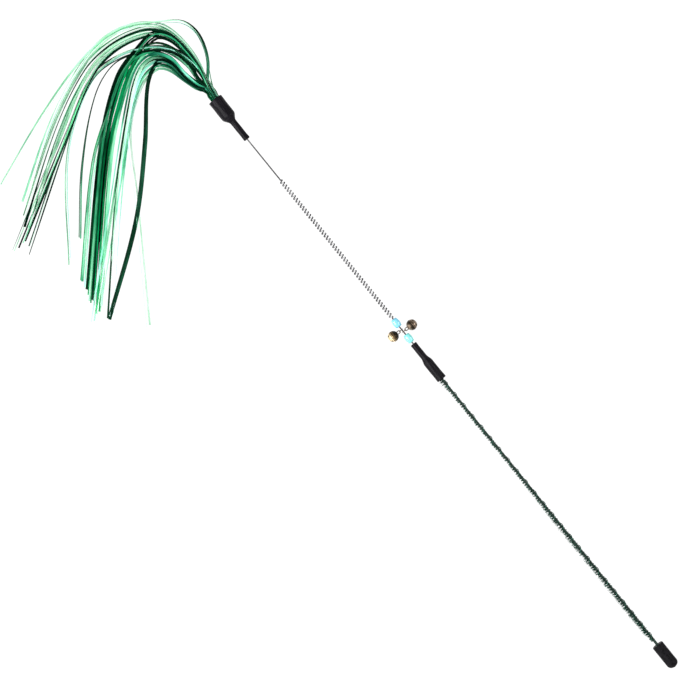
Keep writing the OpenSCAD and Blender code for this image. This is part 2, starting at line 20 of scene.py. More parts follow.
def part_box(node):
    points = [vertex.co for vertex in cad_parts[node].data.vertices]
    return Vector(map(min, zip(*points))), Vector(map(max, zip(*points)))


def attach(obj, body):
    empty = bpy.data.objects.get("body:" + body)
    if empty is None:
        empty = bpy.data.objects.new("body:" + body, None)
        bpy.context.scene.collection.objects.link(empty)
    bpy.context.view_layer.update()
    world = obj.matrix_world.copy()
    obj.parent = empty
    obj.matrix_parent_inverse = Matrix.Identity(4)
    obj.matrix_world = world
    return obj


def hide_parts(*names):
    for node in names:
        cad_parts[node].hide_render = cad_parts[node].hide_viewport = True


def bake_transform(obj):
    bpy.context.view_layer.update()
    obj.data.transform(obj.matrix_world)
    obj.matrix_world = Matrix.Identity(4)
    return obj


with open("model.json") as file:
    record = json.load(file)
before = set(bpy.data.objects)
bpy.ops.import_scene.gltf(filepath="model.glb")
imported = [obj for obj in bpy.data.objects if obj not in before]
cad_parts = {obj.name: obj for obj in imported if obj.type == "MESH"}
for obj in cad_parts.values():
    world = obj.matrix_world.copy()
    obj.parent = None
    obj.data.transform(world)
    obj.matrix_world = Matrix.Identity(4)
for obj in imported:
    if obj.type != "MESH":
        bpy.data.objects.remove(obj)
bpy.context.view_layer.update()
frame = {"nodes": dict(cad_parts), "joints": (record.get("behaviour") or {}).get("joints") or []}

LOG = logging.getLogger("teaser_wand")
MM = 0.001
GOLDEN_ANGLE = 137.508
GOLDEN_SHARE = 0.618034

Colour = tuple[float, float, float, float]
Outline = Sequence[tuple[float, float]]
Stops = Sequence[tuple[float, Colour]]
Value = Union[float, int, Sequence[float], "Term"]


# Shading


class Term:
    """One output of a shader node. Python's operators on it add Math nodes."""

    def __init__(self, sheet: "Sheet", socket: bpy.types.NodeSocket) -> None:
        """Keeps the socket and the sheet that its arithmetic goes on."""
        self.sheet = sheet
        self.socket = socket

    def __add__(self, other: Value) -> "Term":
        """This plus other."""
        return self.sheet.math("ADD", self, other)

    __radd__ = __add__

    def __sub__(self, other: Value) -> "Term":
        """This minus other."""
        return self.sheet.math("SUBTRACT", self, other)

    def __rsub__(self, other: Value) -> "Term":
        """Other minus this."""
        return self.sheet.math("SUBTRACT", other, self)

    def __mul__(self, other: Value) -> "Term":
        """This times other."""
        return self.sheet.math("MULTIPLY", self, other)

    __rmul__ = __mul__

    def clamped(self) -> "Term":
        """This held between 0 and 1."""
        return self.sheet.math("MINIMUM", self.sheet.math("MAXIMUM", self, 0.0), 1.0)


class Sheet:
    """The node sheet of one material or world."""

    def __init__(self, owner: Union[bpy.types.Material, bpy.types.World]) -> None:
        """Starts an empty sheet.

        Args:
            owner: The material or world whose nodes these are.
        """
        owner.use_nodes = True
        self.owner = owner
        self.tree = owner.node_tree
        self.tree.nodes.clear()

    def node(self, kind: str, settings: dict, values: dict) -> bpy.types.Node:
        """Adds a node: its settings first, then its sockets.

        Args:
            kind: Type of the node.
            settings: Attributes of the node. "stops" fills a colour ramp with (place, colour) pairs.
            values: Sockets by name or number, each with a value or a Term.

        Returns:
            The new node.
        """
        made = self.tree.nodes.new(kind)
        for name, value in settings.items():
            if name == "stops":
                self._fill_ramp(made.color_ramp, value)
            else:
                setattr(made, name, value)
        for key, value in values.items():
            if isinstance(value, Term):
                self.tree.links.new(value.socket, made.inputs[key])
            else:
                made.inputs[key].default_value = value
        return made

    @staticmethod
    def _fill_ramp(ramp: bpy.types.ColorRamp, stops: Stops) -> None:
        """Gives a colour ramp its stops.

        Args:
            ramp: The ramp, as it comes with two stops.
            stops: (place, colour) pairs, at least two.
        """
        while len(ramp.elements) < len(stops):
            ramp.elements.new(1.0)
        for element, (place, colour) in zip(ramp.elements, stops):
            element.position = place
            element.color = colour

    def output(self, kind: str, settings: dict, values: dict, socket: Union[int, str] = 0) -> Term:
        """One output of a new node."""
        return Term(self, self.node(kind, settings, values).outputs[socket])

    def math(self, operation: str, *values: Value) -> Term:
        """A Math node on one to three values."""
        return self.output("ShaderNodeMath", {"operation": operation}, dict(enumerate(values)))

    def object_mm(self) -> Term:
        """The place on the piece in millimetres, from Object coordinates."""
        place = self.output("ShaderNodeTexCoord", {}, {}, "Object")
        return self.output("ShaderNodeVectorMath", {"operation": "SCALE"}, {0: place, "Scale": 1 / MM})

    def stretched(self, vector: Term, scales: Sequence[float]) -> Term:
        """A vector with each of its parts scaled."""
        return self.output("ShaderNodeVectorMath", {"operation": "MULTIPLY"}, {0: vector, 1: scales})

    def vector(self, x: Value, y: Value, z: Value) -> Term:
        """A vector made of three numbers."""
        return self.output("ShaderNodeCombineXYZ", {}, {0: x, 1: y, 2: z})

    def attribute(self, name: str) -> Term:
        """A number that the piece's mesh carries for each of its points."""
        return self.output("ShaderNodeAttribute", {"attribute_name": name}, {}, "Fac")

    def noise(self, vector: Term, scale: float, detail: float = 2.0, roughness: float = 0.5) -> Term:
        """Cloudy noise from 0 to 1, with scale features to a unit of the vector."""
        values = {"Vector": vector, "Scale": scale, "Detail": detail, "Roughness": roughness}
        return self.output("ShaderNodeTexNoise", {}, values)

    def cells(self, vector: Term, scale: float) -> Term:
        """Distance to the nearest of scattered points, for pits and speckles."""
        return self.output("ShaderNodeTexVoronoi", {}, {"Vector": vector, "Scale": scale})

    def between(self, factor: Term, low: float, high: float) -> Term:
        """0 where factor is low or less, 1 where it is high or more, smooth between."""
        values = {"Value": factor, "From Min": low, "From Max": high}
        return self.output("ShaderNodeMapRange", {"interpolation_type": "SMOOTHSTEP"}, values)

    def ramp(self, factor: Term, stops: Stops) -> Term:
        """A colour looked up on a ramp."""
        return self.output("ShaderNodeValToRGB", {"stops": stops}, {0: factor})

    def mixed(self, factor: Value, low: Value, high: Value) -> Term:
        """A colour between two colours."""
        return self.output("ShaderNodeMix", {"data_type": "RGBA"}, {0: factor, 6: low, 7: high}, 2)

    def bump(self, height: Term, distance_mm: float) -> Term:
        """A normal that is tilted by a height map."""
        values = {"Height": height, "Distance": distance_mm * MM, "Strength": 1.0}
        return self.output("ShaderNodeBump", {}, values)

    def surface(self, values: dict) -> bpy.types.Material:
        """Ends a material's sheet with one Principled shader.

        Args:
            values: Its sockets by name, each with a value or a Term.

        Returns:
            The material.
        """
        shader = self.output("ShaderNodeBsdfPrincipled", {}, values)
        self.node("ShaderNodeOutputMaterial", {}, {"Surface": shader})
        return self.owner


def new_sheet(name: str) -> Sheet:
    """A sheet for a new material of that name."""
    return Sheet(bpy.data.materials.new(name))


def grey(level: float) -> Colour:
    """A grey of that level."""
    return (level, level, level, 1.0)


@dataclass(frozen=True)
class BlackRubber:
    """Soft moulded rubber with a dusty bloom and faint mould lines."""

    name: str = "black_rubber"
    base: Colour = (0.0012, 0.001, 0.0015, 1.0)
    worn: Colour = (0.0055, 0.0047, 0.0062, 1.0)

    def material(self) -> bpy.types.Material:
        """Builds the finish.

        Returns:
            The new material.
        """
        sheet = new_sheet(self.name)
        place = sheet.object_mm()
        clouds = sheet.noise(place, scale=0.35, detail=3.0)
        grain = sheet.noise(place, scale=5.0)
        dust = sheet.between(clouds + grain * 0.25, 0.52, 0.82)
        return sheet.surface(
            {
                "Base Color": sheet.mixed(dust, self.base, self.worn),
                "Roughness": 0.48 + dust * 0.18,
                "Normal": sheet.bump(grain, distance_mm=0.05),
                "Specular IOR Level": 0.07,
            }
        )


@dataclass(frozen=True)
class ShrunkSleeve:
    """Heat-shrunk black tubing: a satin skin with soft folds along the wand."""

    name: str = "shrunk_sleeve"
    base: Colour = (0.0025, 0.002, 0.0032, 1.0)
    rubbed: Colour = (0.009, 0.0075, 0.0105, 1.0)

    def material(self) -> bpy.types.Material:
        """Builds the finish.

        Returns:
            The new material.
        """
        sheet = new_sheet(self.name)
        place = sheet.object_mm()
        folds = sheet.noise(sheet.stretched(place, (0.12, 0.9, 0.9)), scale=1.0, detail=3.0)
        grain = sheet.noise(place, scale=3.0, detail=3.0)
        rubbed = sheet.between(folds + grain * 0.2, 0.55, 0.85)
        return sheet.surface(
            {
                "Base Color": sheet.mixed(rubbed, self.base, self.rubbed),
                "Roughness": 0.34 + grain * 0.16,
                "Normal": sheet.bump(folds + grain * 0.12, distance_mm=0.3),
                "Specular IOR Level": 0.07,
            }
        )


@dataclass(frozen=True)
class PaintedRod:
    """Dark green rod with drawn lines and a thin satin coat."""

    name: str = "painted_rod"
    base: Colour = (0.006, 0.014, 0.010, 1.0)
    worn: Colour = (0.022, 0.044, 0.034, 1.0)

    def material(self) -> bpy.types.Material:
        """Builds the finish.

        Returns:
            The new material.
        """
        sheet = new_sheet(self.name)
        lines = sheet.noise(sheet.stretched(sheet.object_mm(), (0.06, 3.0, 3.0)), scale=1.0, detail=3.0)
        return sheet.surface(
            {
                "Base Color": sheet.mixed(sheet.between(lines, 0.45, 0.75), self.base, self.worn),
                "Roughness": 0.38 + lines * 0.2,
                "Normal": sheet.bump(lines, distance_mm=0.03),
                "Specular IOR Level": 0.1,
                "Coat Weight": 0.03,
                "Coat Roughness": 0.3,
            }
        )


@dataclass(frozen=True)
class TinselFoil:
    """Slit metallic film twisted into thread: dark green with lighter slivers."""

    name: str = "tinsel_foil"
    stops: Stops = (
        (0.0, (0.003, 0.016, 0.010, 1.0)),
        (0.45, (0.010, 0.055, 0.036, 1.0)),
        (0.75, (0.028, 0.125, 0.085, 1.0)),
        (1.0, (0.13, 0.34, 0.25, 1.0)),
    )

    def material(self) -> bpy.types.Material:
        """Builds the finish.

        Returns:
            The new material.
        """
        sheet = new_sheet(self.name)
        place = sheet.object_mm()
        tone = sheet.noise(place, scale=0.9, detail=3.0, roughness=0.7)
        return sheet.surface(
            {
                "Base Color": sheet.ramp(sheet.between(tone, 0.28, 0.75), self.stops),
                "Metallic": 0.55,
                "Roughness": 0.28 + tone * 0.2,
                "Normal": sheet.bump(sheet.noise(place, scale=4.0), distance_mm=0.08),
            }
        )


@dataclass(frozen=True)
class SpringSteel:
    """Drawn wire: grey steel with fine lines and random clean patches, dull on its straight stretches; the
    coil's upper side has painted shade and its underside is painted pale.
    """

    name: str = "spring_steel"
    bright: Colour = (0.6, 0.6, 0.61, 1.0)
    dull: Colour = (0.04, 0.04, 0.042, 1.0)

    def material(self) -> bpy.types.Material:
        """Builds the finish.

        Returns:
            The new material.
        """
        sheet = new_sheet(self.name)
        place = sheet.object_mm()
        lines = sheet.noise(sheet.stretched(place, (0.5, 4.0, 4.0)), scale=1.0, detail=3.0)
        clean = sheet.between(sheet.noise(place, scale=0.15, detail=3.0), 0.4, 0.75)
        # painted shade on the coil's upper side and a paler underside, with random clean patches
        tarnish = sheet.attribute("wire_top") - clean * 0.15
        return sheet.surface(
            {
                "Base Color": sheet.mixed(tarnish.clamped(), self.bright, self.dull),
                "Metallic": 0.1,
                "Roughness": 0.5 + lines * 0.2,
                "Specular IOR Level": 0.1,
                "Normal": sheet.bump(lines, distance_mm=0.02),
            }
        )


@dataclass(frozen=True)
class BeadGlass:
    """Clear coloured plastic of a bead, deeper at its ends and bubbled inside."""

    name: str
    clear: Colour
    deep: Colour

    def material(self) -> bpy.types.Material:
        """Builds the finish.

        Returns:
            The new material.
        """
        sheet = new_sheet(self.name)
        swirl = sheet.noise(sheet.stretched(sheet.object_mm(), (0.5, 1.0, 1.0)), scale=0.5, detail=3.0)
        depth = sheet.between(sheet.attribute("bead_end") + swirl * 0.35, 0.55, 1.2)
        return sheet.surface(
            {
                "Base Color": sheet.mixed(depth, self.clear, self.deep),
                "Roughness": 0.12 + swirl * 0.08,
                "Transmission Weight": 0.25,
                "IOR": 1.45,
                "Coat Weight": 0.3,
                "Coat Roughness": 0.12,
                "Normal": sheet.bump(swirl, distance_mm=0.03),
            }
        )


@dataclass(frozen=True)
class OldBrass:
    """Antiqued brass: dark in its pits, rubbed pale in random places, and on a bell dark in the grooves by its
    seam, with painted shade inside and in a band round it.
    """

    name: str
    dark: Colour
    brown: Colour
    bright: Colour
    seam: bool = True
    metallic: float = 0.8

    def material(self) -> bpy.types.Material:
        """Builds the finish.

        Returns:
            The new material.
        """
        sheet = new_sheet(self.name)
        place = sheet.object_mm()
        clouds = sheet.noise(place, scale=0.3, detail=4.0, roughness=0.6)
        specks = sheet.between(sheet.cells(place, scale=2.2), 0.12, 0.42)
        rubbed = clouds * 0.9 + specks * 0.22
        if self.seam:
            # on a bell: dark grooves by the seam, and painted shade inside and in a band towards the ear
            rubbed = rubbed - sheet.attribute("bell_patina") * 0.75
        stops = ((0.12, self.dark), (0.45, self.brown), (0.62, self.bright), (0.9, self.bright))
        return sheet.surface(
            {
                "Base Color": sheet.ramp(rubbed.clamped(), stops),
                "Metallic": self.metallic,
                "Roughness": 0.42 - sheet.between(rubbed, 0.3, 0.7) * 0.18,
                "Normal": sheet.bump(specks + clouds * 0.5, distance_mm=0.06),
            }
        )


@dataclass(frozen=True)
class CastCore:
    """Plain grey metal or plastic of the inner cores, with a fine tumbled grain."""

    name: str
    base: Colour
    shade: Colour
    metallic: float

    def material(self) -> bpy.types.Material:
        """Builds the finish.

        Returns:
            The new material.
        """
        sheet = new_sheet(self.name)
        grain = sheet.noise(sheet.object_mm(), scale=2.5, detail=3.0)
        return sheet.surface(
            {
                "Base Color": sheet.mixed(sheet.between(grain, 0.3, 0.7), self.base, self.shade),
                "Metallic": self.metallic,
                "Roughness": 0.35 + grain * 0.25,
                "Normal": sheet.bump(grain, distance_mm=0.05),
            }
        )


class Tone(Enum):
    """Tones of foil in the tassel: a strip's colour from painted shade in its darkest stretches to painted
    highlight in its brightest.
    """

    DARK = ((0.0, 0.004, 0.002), (0.003, 0.026, 0.012), (0.012, 0.085, 0.042), (0.06, 0.32, 0.17))
    EMERALD = ((0.0, 0.02, 0.006), (0.0, 0.12, 0.035), (0.004, 0.30, 0.10), (0.11, 0.74, 0.34))
    MINT = ((0.0, 0.05, 0.02), (0.03, 0.33, 0.15), (0.27, 0.80, 0.49), (0.66, 0.98, 0.82))
    PALE = ((0.01, 0.07, 0.04), (0.13, 0.36, 0.22), (0.46, 0.76, 0.55), (0.80, 0.97, 0.87))
    TURQUOISE = ((0.0, 0.04, 0.02), (0.03, 0.27, 0.15), (0.32, 0.78, 0.62), (0.72, 0.97, 0.90))

    @property
    def word(self) -> str:
        """The tone's name in the names of pieces and slots. Its first letter stands for it in a lock."""
        return self.name.lower()

    @property
    def stops(self) -> Stops:
        """The tone as stops of a colour ramp."""
        return tuple((place, (*colour, 1.0)) for place, colour in zip((0.0, 0.35, 0.68, 1.0), self.value))


@dataclass(frozen=True)
class StripFoil:
    """Thin metallised film with painted highlight and painted shade in stretches that follow each strip's own
    length.
    """

    tone: Tone
    metallic: float = 0.15

    def material(self) -> bpy.types.Material:
        """Builds the finish.

        Returns:
            The new material.
        """
        sheet = new_sheet(f"foil_{self.tone.word}")
        along = sheet.attribute("strip_along")
        number = sheet.attribute("strip_number")
        across = sheet.attribute("strip_across")
        slow = sheet.noise(sheet.vector(along * 0.03, number * 7.31, 0.5), scale=1.0, roughness=0.55)
        quick = sheet.noise(sheet.vector(along * 0.12, number * 3.7, across * 0.6), scale=1.0)
        creases = sheet.noise(sheet.vector(along * 0.5, number * 5.1, across * 1.6), scale=1.0, detail=3.0)
        # painted highlight and shade along the strip, with random tone on top
        shade = sheet.attribute("strip_shine") * 0.9 + (slow - 0.5) * 0.9 + (quick - 0.5) * 0.3
        _, _, (_, lit), _ = self.tone.stops
        return sheet.surface(
            {
                "Base Color": sheet.ramp(shade.clamped(), self.tone.stops),
                "Metallic": self.metallic,
                "Roughness": 0.26 + quick * 0.16,
                "Normal": sheet.bump(creases, distance_mm=0.12),
                "Specular IOR Level": 0.03,
                "Specular Tint": lit,
            }
        )


@dataclass(frozen=True)
class WhiteFloor:
    """A floor that is pale to the wand, and to the camera a glow that still keeps the wand's shadow."""

    name: str = "white_floor"
    pale: Colour = grey(0.7)
    seen_pale: Colour = grey(0.06)
    seen_glow: float = 0.95
    mirrored_glow: float = 0.15

    def material(self) -> bpy.types.Material:
        """Builds the finish.

        Returns:
            The new material.
        """
        sheet = new_sheet(self.name)
        paths = sheet.node("ShaderNodeLightPath", {}, {}).outputs
        seen = Term(sheet, paths["Is Camera Ray"])
        glossy, through = Term(sheet, paths["Is Glossy Ray"]), Term(sheet, paths["Is Transmission Ray"])
        mirrored = sheet.math("MAXIMUM", glossy, through)
        return sheet.surface(
            {
                "Base Color": sheet.mixed(seen, self.pale, self.seen_pale),
                "Roughness": 0.9,
                "Specular IOR Level": 0.0,
                "Emission Color": grey(1.0),
                "Emission Strength": seen * self.seen_glow + mirrored * self.mirrored_glow,
            }
        )


@dataclass(frozen=True)
class WhiteRoom:
    """A white room whose ceiling and far side are darker, as metal shows them."""

    name: str = "room"
    wall: Colour = grey(1.15)
    shade: Colour = grey(0.2)
    seen: Colour = grey(0.741)
    strength: float = 1.35

    def world(self) -> bpy.types.World:
        """Builds the room.

        Returns:
            The new world.
        """
        sheet = Sheet(bpy.data.worlds.new(self.name))
        direction = sheet.output("ShaderNodeTexCoord", {}, {}, "Generated")
        axes = sheet.node("ShaderNodeSeparateXYZ", {}, {0: direction}).outputs
        far_side = (1.0 - sheet.between(Term(sheet, axes["Y"]), -0.75, 0.35)) * 0.8
        ceiling = sheet.between(Term(sheet, axes["Z"]), 0.35, 0.95) * 0.75
        walls = sheet.mixed(sheet.math("MAXIMUM", far_side, ceiling), self.wall, self.shade)
        seen = sheet.output("ShaderNodeLightPath", {}, {}, "Is Camera Ray")
        values = {"Color": sheet.mixed(seen, walls, self.seen), "Strength": self.strength}
        light = sheet.output("ShaderNodeBackground", {}, values)
        sheet.node("ShaderNodeOutputWorld", {}, {"Surface": light})
        return sheet.owner


# The bench: shapes made in millimetres


class Ends(Enum):
    """How a turned shape is closed."""

    CAPPED = "capped"
    JOINED = "joined"


def deselect() -> None:
    """Clears the selection in object mode."""
    bpy.ops.object.select_all(action="DESELECT")


def choose(piece: bpy.types.Object) -> None:
    """Makes one object the only selected and the active one.

    Args:
        piece: The object.
    """
    deselect()
    piece.select_set(True)
    bpy.context.view_layer.objects.active = piece


def placed(name: str, data: bpy.types.ID) -> bpy.types.Object:
    """Puts a mesh, curve, camera or light into the scene.

    Args:
        name: The new object's name.
        data: What it holds.

    Returns:
        The object, at the origin.
    """
    made = bpy.data.objects.new(name, data)
    bpy.context.scene.collection.objects.link(made)
    return made


def copied(piece: bpy.types.Object) -> bpy.types.Object:
    """A copy of a piece, with a mesh of its own."""
    return placed(piece.name, piece.data.copy())


def apply_modifier(piece: bpy.types.Object, kind: str, **settings: object) -> None:
    """Adds a modifier and applies it.

    Args:
        piece: The object to change.
        kind: Type of the modifier.
        **settings: Attributes of the modifier.
    """
    choose(piece)
    modifier = piece.modifiers.new(kind.lower(), kind)
    for name, value in settings.items():
        setattr(modifier, name, value)
    bpy.ops.object.modifier_apply(modifier=modifier.name)


def cut(piece: bpy.types.Object, tool: bpy.types.Object, operation: str = "DIFFERENCE") -> None:
    """Cuts a tool out of a piece, or joins it on, and throws the tool away."""
    apply_modifier(piece, "BOOLEAN", object=tool, operation=operation, solver="EXACT")
    bpy.data.objects.remove(tool)


def bar(radius: float, length: float, sides: int, place: Sequence[float] = (0, 0, 0)) -> bpy.types.Object:
    """A round bar along +Z to cut with, centred on a place.

    Args:
        radius: Its radius.
        length: Its length.
        sides: Its sides.
        place: Its middle.

    Returns:
        The bar.
    """
    deselect()
    bpy.ops.mesh.primitive_cylinder_add(vertices=sides, radius=radius, depth=length, location=place)
    return bpy.context.object


def sized(scales: Sequence[float], shift: Sequence[float]) -> bpy.types.Object:
    """Gives a new primitive its size and place in edit mode.

    Args:
        scales: Scale along each axis, about the origin.
        shift: How far it is then moved.

    Returns:
        The primitive's object.
    """
    bpy.ops.object.mode_set(mode="EDIT")
    bpy.ops.mesh.select_all(action="SELECT")
    bpy.ops.transform.resize(value=scales, center_override=(0, 0, 0))
    bpy.ops.transform.translate(value=shift)
    bpy.ops.object.mode_set(mode="OBJECT")
    return bpy.context.object


def lathe(outline: Outline, ends: Ends, sides: int) -> bpy.types.Object:
    """Turns a shape round +Z: one ring extruded after another, each sized to the outline.

    Args:
        outline: (height, radius) of each ring.
        ends: Whether the last ring is joined to the first, or both are capped.
        sides: Points in a ring.

    Returns:
        The new object, at the origin.
    """
    first_height, first_radius = outline[0]
    deselect()
    bpy.ops.mesh.primitive_circle_add(vertices=sides, radius=first_radius, location=(0, 0, 0))
    piece = bpy.context.object
    bpy.ops.object.mode_set(mode="EDIT")
    bpy.ops.mesh.select_all(action="SELECT")
    bpy.ops.transform.translate(value=(0, 0, first_height))
    for (height, radius), (next_height, next_radius) in zip(outline, outline[1:]):
        bpy.ops.mesh.extrude_region_move(TRANSFORM_OT_translate={"value": (0, 0, next_height - height)})
        share = next_radius / radius
        bpy.ops.transform.resize(value=(share, share, 1), center_override=(0, 0, next_height))
    bpy.ops.mesh.select_all(action="SELECT")
    other_kinds = ("use_wire", "use_multi_face", "use_non_contiguous", "use_verts")
    bpy.ops.mesh.select_non_manifold(extend=False, **dict.fromkeys(other_kinds, False))
    if ends is Ends.JOINED:
        bpy.ops.mesh.bridge_edge_loops()
    else:
        bpy.ops.mesh.edge_face_add()
    bpy.ops.mesh.select_all(action="SELECT")
    bpy.ops.mesh.normals_make_consistent(inside=False)
    bpy.ops.object.mode_set(mode="OBJECT")
    return piece


def guide(route: Sequence[Sequence[float]], tilts: Optional[Sequence[float]] = None) -> bpy.types.Object:
    """An open curve through points, which wires and strips are made along.

    Args:
        route: The points.
        tilts: Roll at each point, in radians.

    Returns:
        The curve's object.
    """
    curve = bpy.data.curves.new("guide", "CURVE")
    curve.dimensions = "3D"
    curve.twist_mode = "Z_UP" if tilts is not None else "MINIMUM"
    spline = curve.splines.new("POLY")
    spline.points.add(len(route) - 1)
    for number, place in enumerate(route):
        spline.points[number].co = (*place, 1.0)
        if tilts is not None:
            spline.points[number].tilt = tilts[number]
    return placed("guide", curve)


def wire(route: Sequence[Sequence[float]], radius: float, roundness: int) -> bpy.types.Object:
    """A round wire along a route: a bevelled curve, converted to a mesh.

    Args:
        route: Points of its centre line.
        radius: The wire's radius.
        roundness: Points between the quarters of its section.

    Returns:
        The wire.
    """
    made = guide(route)
    made.data.bevel_depth = radius
    made.data.bevel_resolution = roundness
    made.data.use_fill_caps = True
    choose(made)
    bpy.ops.object.convert(target="MESH")
    return bpy.context.object


def joined(pieces: Sequence[bpy.types.Object]) -> bpy.types.Object:
    """Joins objects into the first of them.

    Args:
        pieces: The objects.

    Returns:
        The first one, with all the meshes.
    """
    choose(pieces[0])
    for piece in pieces[1:]:
        piece.select_set(True)
    bpy.ops.object.join()
    return bpy.context.object


def smooth(piece: bpy.types.Object, angle: float) -> None:
    """Shades a piece smooth up to an angle between faces, in degrees."""
    choose(piece)
    bpy.ops.object.shade_smooth_by_angle(angle=math.radians(angle))


def points_of(piece: bpy.types.Object) -> np.ndarray:
    """Reads the places of a mesh's points.

    Args:
        piece: The object.

    Returns:
        One row for each point.
    """
    places = np.empty(len(piece.data.vertices) * 3, np.float32)
    piece.data.vertices.foreach_get("co", places)
    return places.reshape(-1, 3)


def set_points(piece: bpy.types.Object, places: np.ndarray) -> None:
    """Moves a mesh's points."""
    piece.data.vertices.foreach_set("co", np.asarray(places, np.float32).ravel())
    piece.data.update()


def set_attribute(piece: bpy.types.Object, name: str, values: np.ndarray) -> None:
    """Gives each point of a mesh a number that its material reads."""
    attribute = piece.data.attributes.new(name, "FLOAT", "POINT")
    attribute.data.foreach_set("value", np.asarray(values, np.float32).ravel())


def settle(
    piece: bpy.types.Object, name: str, place: Matrix, finish: bpy.types.Material, slot: str
) -> bpy.types.Object:
    """Names a finished piece, sets it down in the frame and gives it its finish.

    Args:
        piece: The object, modelled in millimetres.
        name: Its name in the table of pieces.
        place: Where the bench's frame stands in the wand's, in metres.
        finish: The material.
        slot: The record's material slot that the finish stands for. Not used.

    Returns:
        The same object.
    """
    piece.data.transform(place @ Matrix.Scale(MM, 4))
    piece.name = name
    piece.data.name = name
    piece.data.materials.clear()
    piece.data.materials.append(finish)
    LOG.info("%s: %d faces", name, len(piece.data.polygons))
    return piece


def dress(node: str, finish: bpy.types.Material) -> None:
    """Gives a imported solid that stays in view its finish.

    Args:
        node: The solid's node.
        finish: The material.
    """
    materials = frame["nodes"][node].data.materials
    materials.clear()
    materials.append(finish)
    LOG.info("%s: packed solid", node)


def ease(share: float) -> float:
    """Smooth step from 0 to 1."""
    held = min(max(share, 0.0), 1.0)
    return held * held * (3 - 2 * held)


# Places


@dataclass(frozen=True)
class Wand:
    """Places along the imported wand, in millimetres, and its joints by name."""

    axis_y: float
    axis_z: float
    coil_start: float
    coil_end: float
    mouth_x: float
    joints: dict[str, dict]

    @classmethod
    def measured(cls) -> "Wand":
        """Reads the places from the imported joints. The two bends stand a quarter of the coil from its ends.

        Returns:
            The places.
        """
        joints = {joint["name"]: joint for joint in frame["joints"]}
        low = joints["spring_bend_side"]["pos_m"]
        high = joints["spring_bend_up"]["pos_m"]
        quarter = (high[0] - low[0]) / 2 / MM
        return cls(
            axis_y=low[1] / MM,
            axis_z=low[2] / MM,
            coil_start=low[0] / MM - quarter,
            coil_end=high[0] / MM + quarter,
            mouth_x=joints["tassel_sway"]["pos_m"][0] / MM,
            joints=joints,
        )

    def along(self, x: float, to_cap: bool = False) -> Matrix:
        """Stands a shape turned round +Z on the wand's axis at x, pointing to the tassel or the cap."""
        return self.flat(x) @ Matrix.Rotation(math.radians(-90 if to_cap else 90), 4, "Y")

    def flat(self, x: float) -> Matrix:
        """Stands the bench's frame on the axis at x, unturned."""
        return Matrix.Translation(self.point(x))

    def point(self, x: float) -> tuple[float, float, float]:
        """A point of the axis in metres."""
        return (x * MM, self.axis_y * MM, self.axis_z * MM)


# Sub-assemblies


